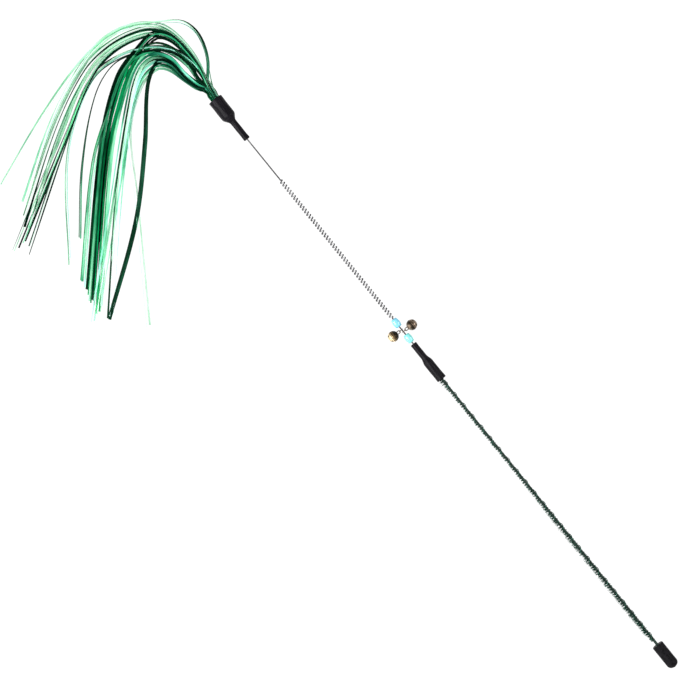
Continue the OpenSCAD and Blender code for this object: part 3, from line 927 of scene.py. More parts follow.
@dataclass
class Handle:
    """The rod with its rubber cap and the tinsel thread wound round it.

    Shares run along the winding, from the cap to the joint sleeve. Turns round the rod start at +Y. Lengths
    are in millimetres and angles in radians.
    """

    wand: Wand
    rod_r: float = 1.2
    thread_r: float = 0.42
    thread_turns: int = 24
    turn_steps: int = 28
    ply_r: float = 0.231
    ply_half_turn_l: float = 1.3
    ply_rise: float = 0.16
    ply_sway: float = 0.2
    sliver_w: float = 0.36
    sliver_l: float = 2.2
    sliver_curl: float = 0.14
    sliver_taper: float = 0.5
    sliver_count: int = 7000
    size_least: float = 0.12
    size_base: float = 0.35
    size_range: float = 0.75
    side_base: float = 0.72
    side_range: float = 0.38
    full_h: float = 1.13
    bare_h: float = 0.12
    rise_at: float = 0.015
    rise_l: float = 0.02
    fall_at: float = 0.42
    fall_l: float = 0.25
    tuft_h: float = 0.75
    tuft_at: float = 0.985
    tuft_l: float = 0.02
    crowding: float = 1.25
    bunch_pitch: float = 2.5
    bunch_spread: float = 0.36
    margin: float = 0.3
    foot_r: float = 1.3
    facing_share: float = 0.75
    facing_turn: tuple[float, float] = (0.25, 1.15)
    lean: tuple[float, float] = (-0.25, 0.42)
    roll: float = 3.1
    seed: int = 7

    def build(self) -> None:
        """Makes the tinsel, and dresses the cap and the rod."""
        dress("end_cap", BlackRubber().material())
        dress("handle_rod", PaintedRod().material())
        low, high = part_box("tinsel_strand")
        start, end = low.x / MM, high.x / MM
        pieces = [self.ply(start, end, 0.0), self.ply(start, end, math.pi), self.pile(start, end)]
        foil = TinselFoil().material()
        tinsel = settle(joined(pieces), "tinsel_wrap", self.wand.flat(0.0), foil, "tinsel")
        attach(tinsel, "handle")
        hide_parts("tinsel_strand")

    def ply(self, start: float, end: float, phase: float) -> bpy.types.Object:
        """One ply of the thread: a fine tube that twists round the thread's own centre line.

        Args:
            start: Where the winding starts along the wand.
            end: Where it ends.
            phase: The ply's turn round the thread at the start.

        Returns:
            The ply.
        """
        steps = self.thread_turns * self.turn_steps
        route = []
        for step in range(steps + 1):
            share = step / steps
            turn = share * self.thread_turns * 2 * math.pi
            twist = phase + share * (end - start) / self.ply_half_turn_l * math.pi
            reach = self.rod_r + self.thread_r + self.ply_rise * (1 + math.cos(twist))
            x = start + (end - start) * share + self.ply_sway * math.sin(twist)
            route.append((x, reach * math.cos(turn), reach * math.sin(turn)))
        return wire(route, self.ply_r, 1)

    def fullness(self, share: float) -> float:
        """How far the pile stands out: half as far by the cap and past the middle, with a tuft at the end.

        Args:
            share: Place along the winding.

        Returns:
            Scale of a sliver's length.
        """
        rise = 0.5 + 0.5 * ease((share - self.rise_at) / self.rise_l)
        fall = 1 - 0.5 * ease((share - self.fall_at) / self.fall_l)
        tuft = self.tuft_h * math.exp(-(((share - self.tuft_at) / self.tuft_l) ** 2))
        return rise * fall * self.full_h + tuft + self.bare_h

    def sliver(self) -> bpy.types.Object:
        """One sliver of the film's slit edge: a strip along +X that narrows and curls a little.

        Returns:
            The sliver, with its foot at the origin.
        """
        deselect()
        bpy.ops.mesh.primitive_grid_add(x_subdivisions=2, y_subdivisions=1, size=1, location=(0, 0, 0))
        piece = sized((self.sliver_l, self.sliver_w, 1), (self.sliver_l / 2, 0, 0))
        shape = points_of(piece)
        along = shape[:, 0] / self.sliver_l
        shape[:, 2] = self.sliver_curl * np.sin(along * math.pi)
        shape[:, 1] *= 1 - self.sliver_taper * along
        set_points(piece, shape)
        return piece

    def stance(self, start: float, end: float, draw: random.Random) -> Matrix:
        """Where the next sliver stands: in one of the thread's bunches, and more often towards +Y.

        Args:
            start: Where the winding starts along the wand.
            end: Where it ends.
            draw: The random numbers.

        Returns:
            The sliver's place, turn and length.
        """
        bunch = round(draw.random() ** self.crowding * (end - start) / self.bunch_pitch) * self.bunch_pitch
        reach = end - start - self.margin
        x = start + min(max(bunch + draw.gauss(0, self.bunch_spread), self.margin), reach)
        facing = draw.random() < self.facing_share
        turn = draw.gauss(*self.facing_turn) if facing else draw.uniform(0, 2 * math.pi)
        size = self.size_base + self.size_range * draw.random()
        size *= self.fullness((x - start) / (end - start))
        size *= self.side_base + self.side_range * math.cos(turn)
        out = Matrix.Rotation(turn, 4, "X") @ Matrix.Rotation(math.radians(90), 4, "Z")
        lean = Matrix.Rotation(draw.gauss(*self.lean), 4, "Z")
        roll = Matrix.Rotation(draw.uniform(-self.roll, self.roll), 4, "X")
        foot = Matrix.Translation((x, 0, 0)) @ out @ Matrix.Translation((self.foot_r, 0, 0))
        return foot @ lean @ roll @ Matrix.Diagonal((max(size, self.size_least), 1, 1, 1))

    def pile(self, start: float, end: float) -> bpy.types.Object:
        """The slit edge of the film: copies of one sliver that stand out from the thread.

        Args:
            start: Where the winding starts along the wand.
            end: Where it ends.

        Returns:
            The pile, one mesh.
        """
        sliver = self.sliver()
        shape = points_of(sliver)
        faces = np.array([tuple(face.vertices) for face in sliver.data.polygons])
        bpy.data.objects.remove(sliver)
        draw = random.Random(self.seed)
        rows, corners = [], []
        for number in range(self.sliver_count):
            place = np.array(self.stance(start, end, draw))
            rows.append(shape @ place[:3, :3].T + place[:3, 3])
            corners.append(faces + number * len(shape))
        mesh = bpy.data.meshes.new("pile")
        mesh.from_pydata(np.concatenate(rows).tolist(), [], np.concatenate(corners).tolist())
        return placed("pile", mesh)


@dataclass
class Sleeve:
    """A stepped black sleeve, shrunk over its core, a little uneven as such sleeves are.

    Rings are shares of their part's length. Each row of folds and dents has its size, its waves round the
    sleeve and along it, and its phase.
    """

    wand: Wand
    node: str
    core: str
    body: str
    mouth_to_tassel: bool
    narrow_l: float
    cone_l: float
    wide_r: float
    wide_l: float
    wall: float
    uneven: float
    narrow_r: float = 3.0
    lip: float = 0.18
    sides: int = 72
    cone_rings: int = 10
    narrow_rings: tuple[float, ...] = (0.12, 0.4, 0.7, 0.95)
    wide_rings: tuple[float, ...] = (0.1, 0.35, 0.6, 0.85)
    folds: tuple[tuple[float, float, float, float], ...] = ((0.5, 3, 5, 0), (0.3, 5, -11, 1.3))
    dents: tuple[float, float, float, float] = (0.35, 2, 17, 0)
    dent_waves: float = 9.0
    end_share: float = 0.125

    def radius(self, height: float) -> float:
        """The outer radius at a height above the narrow mouth."""
        return self.narrow_r + (self.wide_r - self.narrow_r) * ease((height - self.narrow_l) / self.cone_l)

    def outline(self) -> list[tuple[float, float]]:
        """The sleeve's closed outline from the narrow mouth, up the outside and down the inside.

        Returns:
            (height, radius) pairs.
        """
        cone_end = self.narrow_l + self.cone_l
        length = cone_end + self.wide_l
        heights = [self.narrow_l * share for share in self.narrow_rings]
        cone_shares = [ring / self.cone_rings for ring in range(1, self.cone_rings + 1)]
        heights += [self.narrow_l + self.cone_l * share for share in cone_shares]
        heights += [cone_end + self.wide_l * share for share in self.wide_rings]
        outside = [(height, self.radius(height)) for height in heights]
        inside = [(height, radius - self.wall) for height, radius in reversed(outside)]
        foot = [(0.0, self.narrow_r - self.wall), (0.0, self.narrow_r - self.lip), (self.lip, self.narrow_r)]
        brim_r, bore_r = self.wide_r - self.lip, self.wide_r - self.wall
        brim = [(length - self.lip, self.wide_r), (length, brim_r), (length, bore_r)]
        return foot + outside + brim + inside

    def sunk(self, turn: np.ndarray, share: np.ndarray) -> np.ndarray:
        """How the shrinking changes the radius: folds and dents that fade out at both ends.

        Args:
            turn: Angle of each point round the sleeve.
            share: Its share of the sleeve's length.

        Returns:
            Millimetres for each point, mostly below 0.
        """
        dents, *folds = (
            size * np.sin(waves_round * turn + waves_along * share + phase)
            for size, waves_round, waves_along, phase in (self.dents, *self.folds)
        )
        depth = sum(folds) + dents * np.sin(share * self.dent_waves) - 1.0
        return self.uneven * depth * np.clip(np.minimum(share, 1 - share) / self.end_share, 0, 1)

    def build(self, skin: bpy.types.Material, core: bpy.types.Material) -> None:
        """Makes the sleeve, wrinkles it and sets it over its node.

        Args:
            skin: The sleeve's finish.
            core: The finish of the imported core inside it.
        """
        dress(self.core, core)
        piece = lathe(self.outline(), Ends.JOINED, self.sides)
        apply_modifier(piece, "SUBSURF", levels=1, render_levels=1)
        places = points_of(piece)
        radius = np.hypot(places[:, 0], places[:, 1])
        turn = np.arctan2(places[:, 1], places[:, 0])
        share = places[:, 2] / (self.narrow_l + self.cone_l + self.wide_l)
        places[:, :2] *= (1 + self.sunk(turn, share) / radius)[:, None]
        set_points(piece, places)
        smooth(piece, 50)
        low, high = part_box(self.node)
        x = (low.x if self.mouth_to_tassel else high.x) / MM
        place = self.wand.along(x, not self.mouth_to_tassel)
        settle(piece, f"{self.node}_skin", place, skin, "sleeve_black")
        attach(piece, self.body)
        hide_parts(self.node)


@dataclass
class SpringWire:
    """The formed wire: straight shank, open coil and straight end, in two pieces."""

    wand: Wand
    wire_r: float = 0.6
    coil_r: float = 1.5
    turns: int = 52
    turn_steps: int = 16
    shank_steps: int = 12
    end_steps: int = 10
    lead_turns: float = 0.75
    fade_l: float = 2.0
    # slope and base of the painted shade on the coil's upper side
    dull_slope: float = 1.6
    dull_base: float = 0.9

    def route(self) -> list[tuple[float, float, float]]:
        """The whole centre line, from inside the joint sleeve to inside the collar.

        Returns:
            Its points.
        """
        low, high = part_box("spring_wire")
        first, last = low.x / MM, high.x / MM
        start, end = self.wand.coil_start, self.wand.coil_end
        shank = [first + (start - first) * step / self.shank_steps for step in range(self.shank_steps)]
        stem = [end + (last - end) * step / self.end_steps for step in range(1, self.end_steps + 1)]
        points = [(x, 0.0, 0.0) for x in shank]
        count = self.turns * self.turn_steps
        for step in range(count + 1):
            turn = step / self.turn_steps * 2 * math.pi
            reach = self.coil_r * ease(min(step, count - step) / (self.turn_steps * self.lead_turns))
            x = start + (end - start) * step / count
            points.append((x, reach * math.cos(turn), reach * math.sin(turn)))
        return points + [(x, 0.0, 0.0) for x in stem]

    def tarnish(self, places: np.ndarray) -> np.ndarray:
        """How dark the wire is: all of a straight stretch is dull, and the coil has painted shade on its upper
        side and is painted paler below.

        Args:
            places: The wire's points.

        Returns:
            0 to 1 for each point.
        """
        from_ends = np.minimum(places[:, 0] - self.wand.coil_start, self.wand.coil_end - places[:, 0])
        coiled = np.clip(from_ends / self.fade_l, 0, 1)
        # painted shade: darker on the coil's upper side, paler on its underside
        upper = np.clip(places[:, 2] / self.coil_r * self.dull_slope + self.dull_base, 0, 1)
        return 1 - coiled * (1 - upper)

    def build(self) -> None:
        """Makes the wire's two halves."""
        steel = SpringSteel().material()
        route = self.route()
        middle = len(route) // 2
        for name, part, bodies in (
            ("spring_wire_lower", route[: middle + 1], ("handle", "spring")),
            ("spring_wire_upper", route[middle:], ("spring", "tip")),
        ):
            piece = wire(part, self.wire_r, 3)
            smooth(piece, 60)
            set_attribute(piece, "wire_top", self.tarnish(points_of(piece)))
            settle(piece, name, self.wand.flat(0.0), steel, "wire_steel")
            start = max(part[0][0], self.wand.coil_start)
            end = min(part[-1][0], self.wand.coil_end)
            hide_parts("spring_wire")
            self.wand.point(start)
            self.wand.point(end)
            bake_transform(piece)


@dataclass
class Beads:
    """Two clear barrel beads that turn on the shank."""

    wand: Wand
    middle_r: float = 3.5
    end_r: float = 2.6
    length: float = 8.5
    bore_r: float = 0.63
    lead: float = 0.5
    lip: float = 0.25
    rings: int = 12
    sides: int = 48
    lower: BeadGlass = BeadGlass("turquoise_bead", (0.21, 0.64, 0.62, 1.0), (0.09, 0.44, 0.45, 1.0))
    upper: BeadGlass = BeadGlass("blue_bead", (0.19, 0.52, 0.66, 1.0), (0.08, 0.34, 0.47, 1.0))

    def outline(self) -> list[tuple[float, float]]:
        """A bead's closed outline: out along the barrel and back through the bore.

        Returns:
            (height, radius) pairs.
        """
        mouth_r, brim_r = self.bore_r + self.lead, self.end_r - self.lip
        rows = [(self.lead, self.bore_r), (0.0, mouth_r), (0.0, brim_r)]
        for ring in range(self.rings + 1):
            share = ring / self.rings
            bulge = 1 - (2 * share - 1) ** 2
            height = self.lip + (self.length - 2 * self.lip) * share
            rows.append((height, self.end_r + (self.middle_r - self.end_r) * bulge))
        rows += [(self.length, brim_r), (self.length, mouth_r), (self.length - self.lead, self.bore_r)]
        return rows

    def bead(self) -> bpy.types.Object:
        """One bead, standing on the bench.

        Returns:
            The bead.
        """
        piece = lathe(self.outline(), Ends.JOINED, self.sides)
        apply_modifier(piece, "SUBSURF", levels=1, render_levels=1)
        smooth(piece, 40)
        set_attribute(piece, "bead_end", (points_of(piece)[:, 2] / self.length * 2 - 1) ** 2)
        return piece

    def build(self) -> None:
        """Makes one bead, and sets it and its copy in the places of their nodes."""
        bead = self.bead()
        for piece, node, glass, slot in (
            (bead, "lower_bead", self.lower, "bead_turquoise"),
            (copied(bead), "upper_bead", self.upper, "bead_blue"),
        ):
            low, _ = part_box(node)
            settle(piece, f"{node}_glass", self.wand.along(low.x / MM), glass.material(), slot)
            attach(piece, f"{node}_body")
            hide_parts(node)


class Side(Enum):
    """The side of the wand that a bell hangs on, as its sign along Y."""

    LEFT = 1
    RIGHT = -1


@dataclass
class Bells:
    """Two stamped jingle bells of two halves each, rolled together in a seam round the middle.

    The seam and the grooves beside it are placed by their angle from the middle, in radians. A band of painted
    shade goes round the bell towards its ear, placed by its height from the middle and its width, in shares of
    the radius. What lies deeper than a share of the wall counts as the inside, which is painted dark as shade.
    """

    wand: Wand
    outer_r: float = 5.0
    wall: float = 0.45
    seam_r: float = 0.14
    seam_half: float = 0.085
    groove_h: float = 0.1
    groove_at: float = 0.13
    groove_half: float = 0.03
    dirt_half: float = 0.05
    rings: int = 48
    sides: tuple[int, int] = (96, 64)
    slot_w: float = 1.0
    slot_turns: tuple[float, float] = (45.0, 135.0)
    slot_angle: float = 56.0
    hole_r: float = 0.9
    hole_sides: int = 28
    ear_hole_r: float = 0.42
    ear_hole_sides: int = 20
    ear_mean_r: float = 1.15
    drill_l: float = 3.0
    edge: float = 0.09
    sharp_angle: float = 50.0
    groove_dirt: float = 0.8
    # how dark each bell's band of painted shade is
    band_dirt: float = 0.95
    left_band: tuple[float, float] = (-0.75, 0.55)
    right_band: tuple[float, float] = (-0.3, 0.24)
    inner_share: float = 0.6
    hang_l: float = 9.6
    left: OldBrass = OldBrass(
        "left_brass", (0.012, 0.008, 0.002, 1.0), (0.16, 0.105, 0.045, 1.0), (0.7, 0.56, 0.34, 1.0)
    )
    right: OldBrass = OldBrass(
        "right_brass", (0.014, 0.009, 0.004, 1.0), (0.1, 0.068, 0.043, 1.0), (0.2, 0.15, 0.11, 1.0)
    )
    link: OldBrass = OldBrass(
        "link_brass",
        (0.004, 0.003, 0.001, 1.0),
        (0.018, 0.011, 0.005, 1.0),
        (0.05, 0.034, 0.015, 1.0),
        seam=False,
        metallic=0.1,
    )
    pellet: CastCore = CastCore("pellet_steel", (0.3, 0.3, 0.31, 1.0), (0.2, 0.2, 0.21, 1.0), 0.85)

    def shell(self) -> bpy.types.Object:
        """One bell round +Z, its ear holes below and its cross slot above, centred on the origin.

        Returns:
            The shell.
        """
        ball_r = self.outer_r - self.seam_r
        outer_sides, inner_sides = self.sides
        shell = lathe(self.arc(ball_r, True), Ends.CAPPED, outer_sides)
        cut(shell, lathe(self.arc(ball_r - self.wall, False), Ends.CAPPED, inner_sides))
        for turn in self.slot_turns:
            cut(shell, self.slot_cutter(turn))
        for sign in (-1, 1):
            place = (sign * self.ear_mean_r, 0, -self.outer_r)
            cut(shell, bar(self.ear_hole_r, self.drill_l, self.ear_hole_sides, place))
        sharp = math.radians(self.sharp_angle)
        apply_modifier(shell, "BEVEL", width=self.edge, segments=2, limit_method="ANGLE", angle_limit=sharp)
        smooth(shell, 40)
        return shell

    def arc(self, radius: float, seamed: bool) -> list[tuple[float, float]]:
        """Outline of a ball from pole to pole.

        Args:
            radius: The ball's radius.
            seamed: Whether it has the rolled seam round its middle, between two grooves.

        Returns:
            (height, radius) pairs.
        """
        rows = []
        for ring in range(1, self.rings):
            angle = math.pi * ring / self.rings
            size = radius
            if seamed:
                from_middle = abs(angle - math.pi / 2)
                size += self.seam_r * math.exp(-((from_middle / self.seam_half) ** 4))
                aside = (from_middle - self.groove_at) / self.groove_half
                size -= self.groove_h * math.exp(-(aside**2))
            rows.append((-size * math.cos(angle), size * math.sin(angle)))
        return rows

    def slot_cutter(self, turn: float) -> bpy.types.Object:
        """The cutter of one slot: a blade with a round bar at each of its ends.

        Args:
            turn: Its turn round the bell, in degrees.

        Returns:
            The cutter.
        """
        angle = math.radians(self.slot_angle)
        lift = Matrix.Translation((0, 0, self.outer_r))
        deselect()
        bpy.ops.mesh.primitive_cube_add(size=1, location=(0, 0, 0))
        scales = (2 * self.outer_r * math.sin(angle), self.slot_w, 2 * self.outer_r)
        blade = sized(scales, (0, 0, self.outer_r))
        for sign in (-1, 1):
            end = bar(self.hole_r, self.outer_r, self.hole_sides)
            end.data.transform(Matrix.Rotation(sign * angle, 4, "Y") @ lift)
            cut(blade, end, "UNION")
        blade.data.transform(Matrix.Rotation(math.radians(turn), 4, "Z"))
        return blade

    def patina(self, places: np.ndarray, band: tuple[float, float]) -> np.ndarray:
        """How dark the brass is: in the grooves by the seam, and painted shade inside and in a band.

        Args:
            places: The shell's points.
            band: Middle and width of the band of painted shade.

        Returns:
            0 to 1 for each point.
        """
        height = places[:, 2] / self.outer_r
        grooves = self.groove_dirt * np.exp(-(((np.abs(height) - self.groove_at) / self.dirt_half) ** 2))
        # painted shade: a dark band round the bell towards its ear
        tarnish = self.band_dirt * np.exp(-(((height - band[0]) / band[1]) ** 2))
        inner_r = self.outer_r - self.seam_r - self.wall * self.inner_share
        # painted shade: the inside of the shell is painted dark
        inside = np.linalg.norm(places, axis=1) < inner_r
        return np.clip(grooves + tarnish + inside, 0, 1)

    def hang(self, shell: bpy.types.Object, side: Side, brass: OldBrass, band: tuple[float, float]) -> None:
        """Hangs one bell from its ring.

        Args:
            shell: The shell, as it was made.
            side: The side that it hangs on.
            brass: Its finish.
            band: Middle and width of its band of painted shade.
        """
        word = side.name.lower()
        # dark seam grooves, and painted shade inside and in a band
        set_attribute(shell, "bell_patina", self.patina(points_of(shell), band))
        pivot = self.wand.joints[f"{word}_bell_swing"]["pos_m"]
        ring = self.wand.joints[f"{word}_ring_swing"]["pos_m"]
        droop = math.atan2(ring[2] - pivot[2], abs(pivot[1] - ring[1]))
        turned = Matrix.Rotation(-side.value * (math.pi / 2 + droop), 4, "X")
        place = Matrix.Translation(ring) @ turned @ Matrix.Translation((0, 0, self.hang_l * MM))
        settle(shell, f"{word}_bell_shell", place, brass.material(), "bell_brass")
        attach(shell, f"{word}_bell_body")
        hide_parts(f"{word}_bell")

    def build(self) -> None:
        """Makes one shell, hangs it and its copy, and dresses the links and the pellets."""
        shell = self.shell()
        second = copied(shell)
        self.hang(shell, Side.LEFT, self.left, self.left_band)
        self.hang(second, Side.RIGHT, self.right, self.right_band)
        link, pellet = self.link.material(), self.pellet.material()
        for side in Side:
            word = side.name.lower()
            dress(f"{word}_ring", link)
            dress(f"{word}_ear", link)
            dress(f"{word}_pellet", pellet)


FULL_WIDTH = 10
# the brightest level of a strip's painted highlight and shade
TOP_PAINTED_LIGHT = 9


@dataclass(frozen=True)
class Lock:
    """One lock of the tassel.

    Its spreads, at the arch and at the end, are shares of the tassel's reach. The places that it passes are
    (out, side) in shares too. Each of its strips has the letter of its tone, then two rows of digits that are
    spread evenly from the mouth to its end: how much of its width faces up, in tenths, and how bright its
    painted highlight and shade are, in ninths.
    """

    spread: tuple[float, float]
    places: tuple[tuple[float, float], ...]
    strips: tuple[tuple[str, str, str], ...]


# The tassel's locks: those of the fan, then those of the heap, and last the dark pair beside it
LOCKS = (
    Lock(
        (0.012, 0.02),
        (
            (0.316, -0.084), (0.537, -0.121), (0.703, -0.104), (0.835, -0.023),
            (1.005, 0.126), (1.01, 0.316), (0.875, 0.585), (0.62, 0.93),
        ),
        (
            ("t", "53333111111", "66678899999"),
            ("p", "60036543322", "11666665555"),
            ("d", "79930000000", "98133333333"),
        ),
    ),
    Lock(
        (0.03, 0.04),
        (
            (0.304, -0.043), (0.572, -0.051), (0.797, -0.019), (0.948, 0.071),
            (1.015, 0.195), (0.971, 0.347), (0.746, 0.609), (0.325, 0.943),
        ),
        (
            ("p", "64333455513", "56677666678"),
            ("m", "63334432411", "56666667777"),
            ("p", "63355632677", "56555555444"),
        ),
    ),
    Lock(
        (0.04, 0.06),
        (
            (0.296, -0.034), (0.526, -0.038), (0.728, -0.013), (0.856, 0.052),
            (0.935, 0.194), (0.911, 0.352), (0.68, 0.608), (0.211, 0.969),
        ),
        (
            ("p", "65322255521", "56567666788"),
            ("m", "65322332111", "55667777788"),
            ("d", "65674211237", "53112567741"),
            ("m", "65322211111", "55667777777"),
            ("e", "64321434721", "45667775577"),
        ),
    ),
    Lock(
        (0.035, 0.05),
        (
            (0.277, -0.032), (0.5, -0.033), (0.7, -0.013), (0.828, 0.052),
            (0.906, 0.2), (0.858, 0.354), (0.586, 0.61), (0.086, 1.065),
        ),
        (
            ("d", "65646223552", "53011366321"),
            ("m", "55223232211", "45667777777"),
            ("d", "66633114656", "53012466210"),
            ("p", "54223444311", "56677666677"),
            ("d", "65522322251", "53112457428"),
        ),
    ),
    Lock(
        (0.03, 0.03),
        (
            (0.25, -0.021), (0.407, -0.018), (0.566, 0.007), (0.7, 0.076),
            (0.81, 0.2), (0.823, 0.346), (0.634, 0.54), (-0.011, 1.054),
        ),
        (
            ("d", "65544344652", "53112455222"),
            ("m", "54221221111", "55766777777"),
            ("d", "65443222222", "43112456433"),
        ),
    ),
    Lock(
        (0.015, 0.02),
        (
            (0.263, -0.027), (0.429, -0.021), (0.592, 0.014), (0.728, 0.087),
            (0.825, 0.216), (0.79, 0.387), (0.425, 0.653), (-0.302, 0.936),
        ),
        (
            ("t", "64322111111", "56666677788"),
            ("p", "53222322222", "56776555555"),
        ),
    ),
    Lock(
        (0.006, 0.012),
        (
            (0.215, 0.0), (0.388, -0.01), (0.569, 0.023), (0.7, 0.104),
            (0.79, 0.236), (0.69, 0.388), (0.309, 0.616), (-0.157, 0.819),
        ),
        (
            ("d", "67544445555", "42113344899"),
            ("d", "67421111111", "42113333688"),
        ),
    ),
    Lock(
        (0.025, 0.025),
        (
            (0.2, 0.012), (0.338, 0.033), (0.533, 0.043), (0.677, 0.097),
            (0.7, 0.203), (0.548, 0.35), (0.218, 0.594), (-0.539, 0.963),
        ),
        (
            ("m", "76653345555", "23343777776"),
            ("m", "66643334556", "22332457774"),
            ("e", "66656544445", "22222366553"),
        ),
    ),
    Lock(
        (0.028, 0.035),
        (
            (0.263, -0.027), (0.456, -0.032), (0.652, -0.022), (0.766, 0.027),
            (0.744, 0.131), (0.652, 0.275), (0.298, 0.505), (-0.641, 0.962),
        ),
        (
            ("d", "65641267766", "42013322211"),
            ("d", "66562577766", "42100132222"),
            ("e", "65456787755", "43222313434"),
            ("m", "53322345444", "43334342578"),
            ("e", "65556556655", "43222374789"),
            ("d", "65546666666", "42011263211"),
            ("d", "66558766656", "42011271642"),
        ),
    ),
    Lock(
        (0.026, 0.045),
        (
            (0.225, 0.0), (0.38, -0.007), (0.568, 0.012), (0.691, 0.057),
            (0.717, 0.142), (0.568, 0.292), (0.206, 0.518), (-0.754, 0.969),
        ),
        (
            ("m", "67655666665", "45663888688"),
            ("e", "65449754555", "32256999998"),
            ("e", "65459655444", "32256534688"),
            ("d", "65551788765", "21112001111"),
            ("e", "65458755444", "32244212434"),
            ("d", "65553686775", "21101101001"),
        ),
    ),
    Lock(
        (0.025, 0.04),
        (
            (0.185, 0.022), (0.324, 0.038), (0.508, 0.048), (0.622, 0.091),
            (0.618, 0.171), (0.436, 0.301), (-0.072, 0.588), (-0.809, 0.997),
        ),
        (
            ("m", "66687743211", "10278876688"),
            ("p", "66687432433", "10268776788"),
            ("m", "66665335543", "10278678788"),
            ("t", "67744222542", "14222576788"),
        ),
    ),
    Lock(
        (0.015, 0.02),
        (
            (0.179, 0.024), (0.317, 0.041), (0.495, 0.05), (0.603, 0.093),
            (0.602, 0.189), (0.4, 0.327), (-0.077, 0.585), (-0.868, 0.953),
        ),
        (
            ("d", "77724664344", "10002357554"),
        ),
    ),
    Lock(
        (0.02, 0.03),
        (
            (0.175, 0.026), (0.311, 0.044), (0.481, 0.056), (0.578, 0.098),
            (0.559, 0.19), (0.341, 0.345), (-0.159, 0.604), (-0.933, 0.968),
        ),
        (
            ("t", "66698643221", "10379888999"),
            ("t", "66697322222", "10378876899"),
            ("p", "66695222111", "10368766899"),
        ),
    ),
    Lock(
        (0.015, 0.02),
        (
            (0.171, 0.03), (0.297, 0.049), (0.454, 0.07), (0.535, 0.11),
            (0.505, 0.212), (0.27, 0.371), (-0.218, 0.533), (-1.156, 0.845),
        ),
        (
            ("p", "66686443455", "10499876666"),
            ("m", "66673211111", "10389887777"),
        ),
    ),
    Lock(
        (0.006, 0.008),
        (
            (0.172, 0.027), (0.311, 0.044), (0.479, 0.051), (0.568, 0.085),
            (0.477, 0.181), (0.103, 0.35), (-0.37, 0.591), (-0.871, 0.938),
        ),
        (
            ("d", "66769999999", "11134554444"),
            ("d", "66766656666", "11134554444"),
        ),
    ),
)


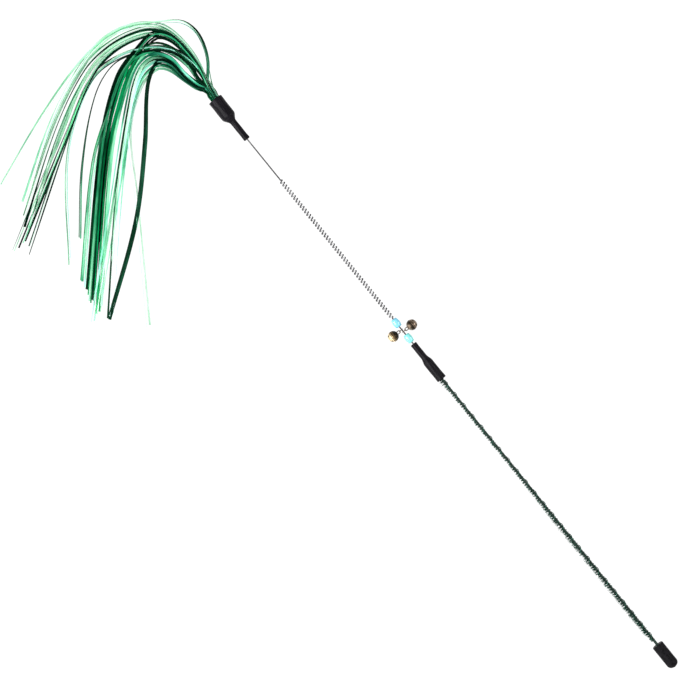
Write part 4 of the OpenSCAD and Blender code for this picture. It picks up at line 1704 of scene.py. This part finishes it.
@dataclass
class Tassel:
    """The foil strips: each bends over in an arch, mostly on edge, and lies flatter towards its end.

    Lengths are in millimetres, from the collar's mouth. Turns and rolls are in degrees. A pair of numbers is
    the least and the most of a random draw, or of what is allowed.
    """

    wand: Wand
    locks: tuple[Lock, ...] = LOCKS
    strip_w: float = 3.0
    strip_t: float = 0.06
    crown: float = 0.16
    out: float = 100.0
    side: float = 200.0
    settle_l: float = 160.0
    root_x: float = -16.5
    root_steps: int = 2
    bundle_r: float = 5.38
    offset_share: float = 0.96
    open_places: float = 3.2
    open_share: float = 1.2
    lip_l: float = 9.0
    lip_side: float = 1.1
    lip_spread: float = 1.1
    stray_share: float = 0.06
    span_steps: int = 8
    shown_least: float = 0.03
    shown_more: float = 0.4
    roll_range: tuple[float, float] = (4.0, 88.0)
    roll_jitter: float = 2.0
    roll_rate: tuple[float, float] = (0.12, 0.3)
    roll_blur: int = 5
    wave_h: tuple[float, float] = (0.1, 0.7)
    wave_rate: tuple[float, float] = (8.0, 16.0)
    wave_from: float = 0.4
    phase: tuple[float, float] = (0.0, 6.0)
    sway_l: float = 14.0
    sway_turn: float = 40.0
    seed: int = 11

    @staticmethod
    def wobble(number: int, salt: int) -> float:
        """A settled spread of values from -1 to 1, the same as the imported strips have."""
        return math.sin(math.radians(GOLDEN_ANGLE * (number + 1) * (salt + 1)))

    @staticmethod
    def curve(a: np.ndarray, leave: np.ndarray, b: np.ndarray, arrive: np.ndarray, share: float) -> np.ndarray:
        """A place on a cubic curve from a to b.

        Args:
            a: Where it starts.
            leave: Its speed there.
            b: Where it ends.
            arrive: Its speed there.
            share: How far along the curve the place is, from 0 to 1.

        Returns:
            The place.
        """
        rest = 1 - share
        return (
            rest * rest * (1 + 2 * share) * a
            + share * share * (3 - 2 * share) * b
            + share * rest * rest * leave
            - share * share * rest * arrive
        )

    @staticmethod
    def layers(count: int) -> list[int]:
        """Shuffles the strips into layers by the golden ratio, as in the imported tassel.

        Args:
            count: Number of strips.

        Returns:
            The layer that each strip lies in, from the floor up.
        """
        order = sorted(range(count), key=lambda number: number * GOLDEN_SHARE % 1)
        layer = [0] * count
        for place, number in enumerate(order):
            layer[number] = place
        return layer

    def knots(self, lock: Lock, number: int, at: float) -> list[np.ndarray]:
        """The places that one strip passes after the mouth.

        Args:
            lock: The lock that it belongs to.
            number: The strip's number.
            at: Its place in the lock, from -1 to 1.

        Returns:
            Places in plan, from the mouth's centre.
        """
        places = [np.array([out * self.out, side * self.side]) for out, side in lock.places]
        before = [np.zeros(2)] + places[:-1]
        after = places[1:] + places[-1:]
        rows = []
        for step, (place, low, high) in enumerate(zip(places, before, after)):
            along = (high - low) / np.linalg.norm(high - low)
            across = np.array([along[1], -along[0]])
            share = (step + 1) / len(places)
            opened = min(1.0, (step + self.open_share) / self.open_places)
            spread = (lock.spread[0] + (lock.spread[1] - lock.spread[0]) * share) * at * opened
            stray = self.stray_share * self.wobble(number, 2) * share**3
            rows.append(place + (spread * across + stray * along) * self.out)
        return rows

    def plan(self, knots: Sequence[np.ndarray]) -> np.ndarray:
        """A strip's centre line in plan: from its root, out of the mouth and through its knots.

        Args:
            knots: The places that it passes, the mouth first.

        Returns:
            One row for each point, root_steps of them before the mouth.
        """
        last = len(knots) - 1
        gaps = [float(np.linalg.norm(knots[i + 1] - knots[i])) for i in range(last)]
        slopes = [np.array([1.0, 0.0])]
        slopes += [(knots[i + 1] - knots[i - 1]) / (gaps[i - 1] + gaps[i]) for i in range(1, last)]
        slopes += [(knots[last] - knots[last - 1]) / gaps[last - 1]]
        root = [self.root_x * (1 - step / self.root_steps) for step in range(self.root_steps)]
        rows = [np.array([x, knots[0][1]]) for x in root]
        for i, gap in enumerate(gaps):
            leave, arrive = gap * slopes[i], gap * slopes[i + 1]
            for step in range(self.span_steps):
                rows.append(self.curve(knots[i], leave, knots[i + 1], arrive, step / self.span_steps))
        return np.array(rows + [knots[last]])

    def spread_out(self, digits: str, plan: np.ndarray) -> np.ndarray:
        """A row of digits, blended over the points of a strip's centre line.

        Args:
            digits: One digit for each of some even stretches from the mouth to the strip's end.
            plan: The centre line, from the root.

        Returns:
            A value for each point. The root has the mouth's.
        """
        far = self.reached(plan)
        mouth = far[self.root_steps]
        share = np.clip((far - mouth) / (far[-1] - mouth), 0, 1)
        return np.interp(share, np.linspace(0, 1, len(digits)), [float(digit) for digit in digits])

    @staticmethod
    def reached(line: np.ndarray) -> np.ndarray:
        """The length of a line up to each of its points."""
        return np.concatenate([[0.0], np.cumsum(np.linalg.norm(np.diff(line, axis=0), axis=1))])

    def rolls(self, shown: np.ndarray, draw: random.Random) -> np.ndarray:
        """A strip's roll at each point of its centre line, in degrees.

        Args:
            shown: Tenths of the strip's width that face up.
            draw: The random numbers.

        Returns:
            Degrees from flat, one for each point.
        """
        steps = np.arange(len(shown))
        sway = np.sin(steps * draw.uniform(*self.roll_rate) + draw.uniform(*self.phase)) * self.roll_jitter
        facing = np.clip((shown + self.shown_more) / FULL_WIDTH, self.shown_least, 1)
        held = np.clip(np.degrees(np.arccos(facing)) + sway, *self.roll_range)
        padded = np.pad(held, self.roll_blur // 2, mode="edge")
        eased = np.convolve(padded, np.ones(self.roll_blur) / self.roll_blur, mode="valid")
        return draw.choice((-1, 1)) * eased * np.clip(steps / self.root_steps, 0, 1)

    def heights(self, plan: np.ndarray, rolls: np.ndarray, level: float, bundle_h: float) -> np.ndarray:
        """How high a strip lies: in its layer of the bundle at the mouth, then down in that of the heap.

        Args:
            plan: Its centre line in plan.
            rolls: Its roll at each point.
            level: Its layer, as a share of all.
            bundle_h: Half the bundle's height at the mouth.

        Returns:
            The height of each point, with room for the strip's own width.
        """
        far = np.hypot(np.maximum(plan[:, 0], 0), plan[:, 1]) / self.settle_l
        drop = np.array([ease(share) for share in far])
        height = (self.wand.axis_z - bundle_h) * (1 - drop) + 2 * bundle_h * level
        half_h = self.strip_w / 2 * np.abs(np.sin(np.radians(rolls))) + self.crown
        return np.clip(height, half_h, 2 * self.wand.axis_z - half_h)

    def waved(self, plan: np.ndarray, draw: random.Random) -> np.ndarray:
        """A centre line that wavers a little from side to side towards its end.

        Args:
            plan: The centre line in plan.
            draw: The random numbers.

        Returns:
            The wavering line.
        """
        share = np.linspace(0, 1, len(plan))
        size, rate, phase = (draw.uniform(*span) for span in (self.wave_h, self.wave_rate, self.phase))
        wave = size * np.sin(share * rate + phase)
        step = np.gradient(plan, axis=0)
        aside = np.stack([-step[:, 1], step[:, 0]], axis=1) / np.linalg.norm(step, axis=1)[:, None]
        return plan + aside * (wave * np.clip(share - self.wave_from, 0, 1))[:, None]

    def ribbon(self, number: int, route: np.ndarray, rolls: np.ndarray, shine: np.ndarray) -> bpy.types.Object:
        """A grid stretched to a strip's length, crowned, and bent along its route.

        Args:
            number: The strip's number, which its finish varies with.
            route: Its centre line.
            rolls: Its roll at each point, in degrees.
            shine: How bright its painted highlight and shade are at each point.

        Returns:
            The strip.
        """
        reached = self.reached(route)
        length = float(reached[-1])
        steps = len(route) - 1
        deselect()
        bpy.ops.mesh.primitive_grid_add(x_subdivisions=steps, y_subdivisions=2, size=1, location=(0, 0, 0))
        piece = sized((length, self.strip_w, 1), (length / 2, 0, 0))
        shape = points_of(piece)
        set_attribute(piece, "strip_along", shape[:, 0])
        set_attribute(piece, "strip_across", shape[:, 1])
        set_attribute(piece, "strip_number", np.full(len(shape), number))
        # painted highlight and shade along the strip
        set_attribute(piece, "strip_shine", np.interp(shape[:, 0], reached, shine))
        shape[:, 2] = self.crown * (1 - (shape[:, 1] / self.strip_w * 2) ** 2)
        set_points(piece, shape)
        path = guide(route, np.radians(rolls))
        apply_modifier(piece, "CURVE", object=path, deform_axis="POS_X")
        bpy.data.objects.remove(path)
        return piece

    def strip(self, number: int, place: int, lock: Lock, level: float) -> bpy.types.Object:
        """One strip, in its own place and with its own roll and its own painted highlight and shade.

        Args:
            number: The strip's number in the tassel.
            place: The strip's number in its lock.
            lock: The lock.
            level: Its layer, as a share of all.

        Returns:
            The strip, from the mouth's centre on the ground plane.
        """
        draw = random.Random(self.seed * 1000 + number)
        bundle_h = math.sqrt(self.bundle_r**2 - self.strip_w**2 / 4) - self.strip_t / 2
        stand = (2 * level - 1) * bundle_h
        room = math.sqrt(max(0.0, self.bundle_r**2 - stand * stand)) - self.strip_w / 2
        start = np.array([0.0, self.offset_share * self.wobble(number, 0) * room])
        lip = np.array([self.lip_l, start[1] * self.lip_spread - self.lip_side])
        plan = self.plan([start, lip] + self.knots(lock, number, (2 * place + 1) / len(lock.strips) - 1))
        _, shown, painted_light_digits = lock.strips[place]
        rolls = self.rolls(self.spread_out(shown, plan), draw)
        route = np.column_stack([self.waved(plan, draw), self.heights(plan, rolls, level, bundle_h)])
        return self.ribbon(number, route, rolls, self.spread_out(painted_light_digits, plan) / TOP_PAINTED_LIGHT)

    def build(self) -> None:
        """Makes every strip, and joins the strips of each tone into one piece."""
        tones = {tone.word[0]: tone for tone in Tone}
        rows = [(lock, place) for lock in self.locks for place in range(len(lock.strips))]
        made = {tone: [] for tone in Tone}
        for number, ((lock, place), layer) in enumerate(zip(rows, self.layers(len(rows)))):
            letter, _, _ = lock.strips[place]
            made[tones[letter]].append(self.strip(number, place, lock, (layer + 0.5) / len(rows)))
        mouth = Vector(self.wand.point(self.wand.mouth_x))
        turn = math.radians(self.sway_turn)
        loose = mouth + self.sway_l * MM * Vector((math.cos(turn), math.sin(turn), 0.0))
        ground = Matrix.Translation((mouth.x, mouth.y, 0))
        for tone, strips in made.items():
            piece = joined(strips)
            apply_modifier(piece, "SOLIDIFY", thickness=self.strip_t, offset=0.0)
            smooth(piece, 60)
            settle(piece, f"tassel_{tone.word}", ground, StripFoil(tone).material(), f"foil_{tone.word}")
            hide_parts(f"streamers_{tone.word}")
            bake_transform(piece)


# The studio


@dataclass(frozen=True)
class Lamp:
    """A square soft light that faces the wand: its place and size in metres, its power in watts."""

    name: str
    place: tuple[float, float, float]
    size: float
    power: float
    aim: tuple[float, float, float] = (0.05, -0.04, 0.0)

    def build(self) -> None:
        """Hangs the light."""
        data = bpy.data.lights.new(self.name, "AREA")
        data.shape = "SQUARE"
        data.size = self.size
        data.energy = self.power
        facing = (Vector(self.aim) - Vector(self.place)).to_track_quat("-Z", "Y")
        placed(self.name, data).matrix_world = Matrix.Translation(self.place) @ facing.to_matrix().to_4x4()


@dataclass
class Studio:
    """White floor, soft light and the camera that looks straight down.

    Lengths are in metres, apart from the view's middle, which is in millimetres from the collar's mouth.
    """

    wand: Wand
    height: float = 2.0
    frame_w: float = 0.5916
    sensor_w: float = 36.0
    from_mouth: tuple[float, float] = (-231.0, 47.4)
    right: tuple[float, float, float] = (-0.6300, -0.7765, 0.0)
    up: tuple[float, float, float] = (0.7765, -0.6300, 0.0)
    floor_w: float = 12.0
    floor_z: float = -0.35
    lamps: tuple[Lamp, ...] = (
        Lamp("key", (0.25, 1.0, 1.3), size=1.1, power=52.0),
        Lamp("fill", (-0.5, -1.2, 1.0), size=0.8, power=14.0),
    )

    def camera(self) -> None:
        """Stands the camera over the wand, rolled as in the photograph."""
        data = bpy.data.cameras.new("camera")
        data.sensor_width = self.sensor_w
        data.lens = self.sensor_w * (self.height - self.wand.axis_z * MM) / self.frame_w
        right, up = Vector(self.right).normalized(), Vector(self.up).normalized()
        turned = Matrix((right, up, right.cross(up))).transposed()
        x = (self.wand.mouth_x + self.from_mouth[0]) * MM
        y = (self.wand.axis_y + self.from_mouth[1]) * MM
        made = placed("camera", data)
        made.matrix_world = Matrix.Translation((x, y, self.height)) @ turned.to_4x4()
        bpy.context.scene.camera = made

    def floor(self) -> None:
        """Lays a white floor that keeps the wand's shadow, as far down as the tassel swings."""
        deselect()
        bpy.ops.mesh.primitive_plane_add(size=self.floor_w, location=(0, 0, self.floor_z))
        plane = bpy.context.object
        plane.name = "floor"
        plane.data.materials.append(WhiteFloor().material())

    def build(self) -> None:
        """Sets up the whole studio."""
        self.camera()
        self.floor()
        bpy.context.scene.world = WhiteRoom().world()
        for lamp in self.lamps:
            lamp.build()
        bpy.context.scene.view_settings.view_transform = "Standard"


def main() -> None:
    """Builds the studio and the wand."""
    logging.basicConfig(level=logging.INFO, format="%(message)s")
    wand = Wand.measured()
    Studio(wand).build()
    Handle(wand).build()
    skin = ShrunkSleeve().material()
    plastic = CastCore("core_plastic", (0.5, 0.48, 0.44, 1.0), (0.4, 0.38, 0.34, 1.0), 0.0).material()
    metal = CastCore("ferrule_metal", (0.5, 0.5, 0.51, 1.0), (0.38, 0.38, 0.39, 1.0), 0.9).material()
    joint = {"narrow_l": 14.4, "cone_l": 7.0, "wide_r": 4.5, "wide_l": 18.2, "wall": 0.7, "uneven": 0.13}
    collar = {"narrow_l": 19.0, "cone_l": 7.3, "wide_r": 6.7, "wide_l": 18.1, "wall": 0.75, "uneven": 0.14}
    for node, core, body, to_tassel, sizes, filling in (
        ("joint_sleeve", "joint_ferrule", "handle", False, joint, plastic),
        ("tassel_collar", "tassel_ferrule", "tip", True, collar, metal),
    ):
        Sleeve(wand, node, core, body, mouth_to_tassel=to_tassel, **sizes).build(skin, filling)
    SpringWire(wand).build()
    Beads(wand).build()
    Bells(wand).build()
    Tassel(wand).build()


if __name__ == "__main__":
    main()
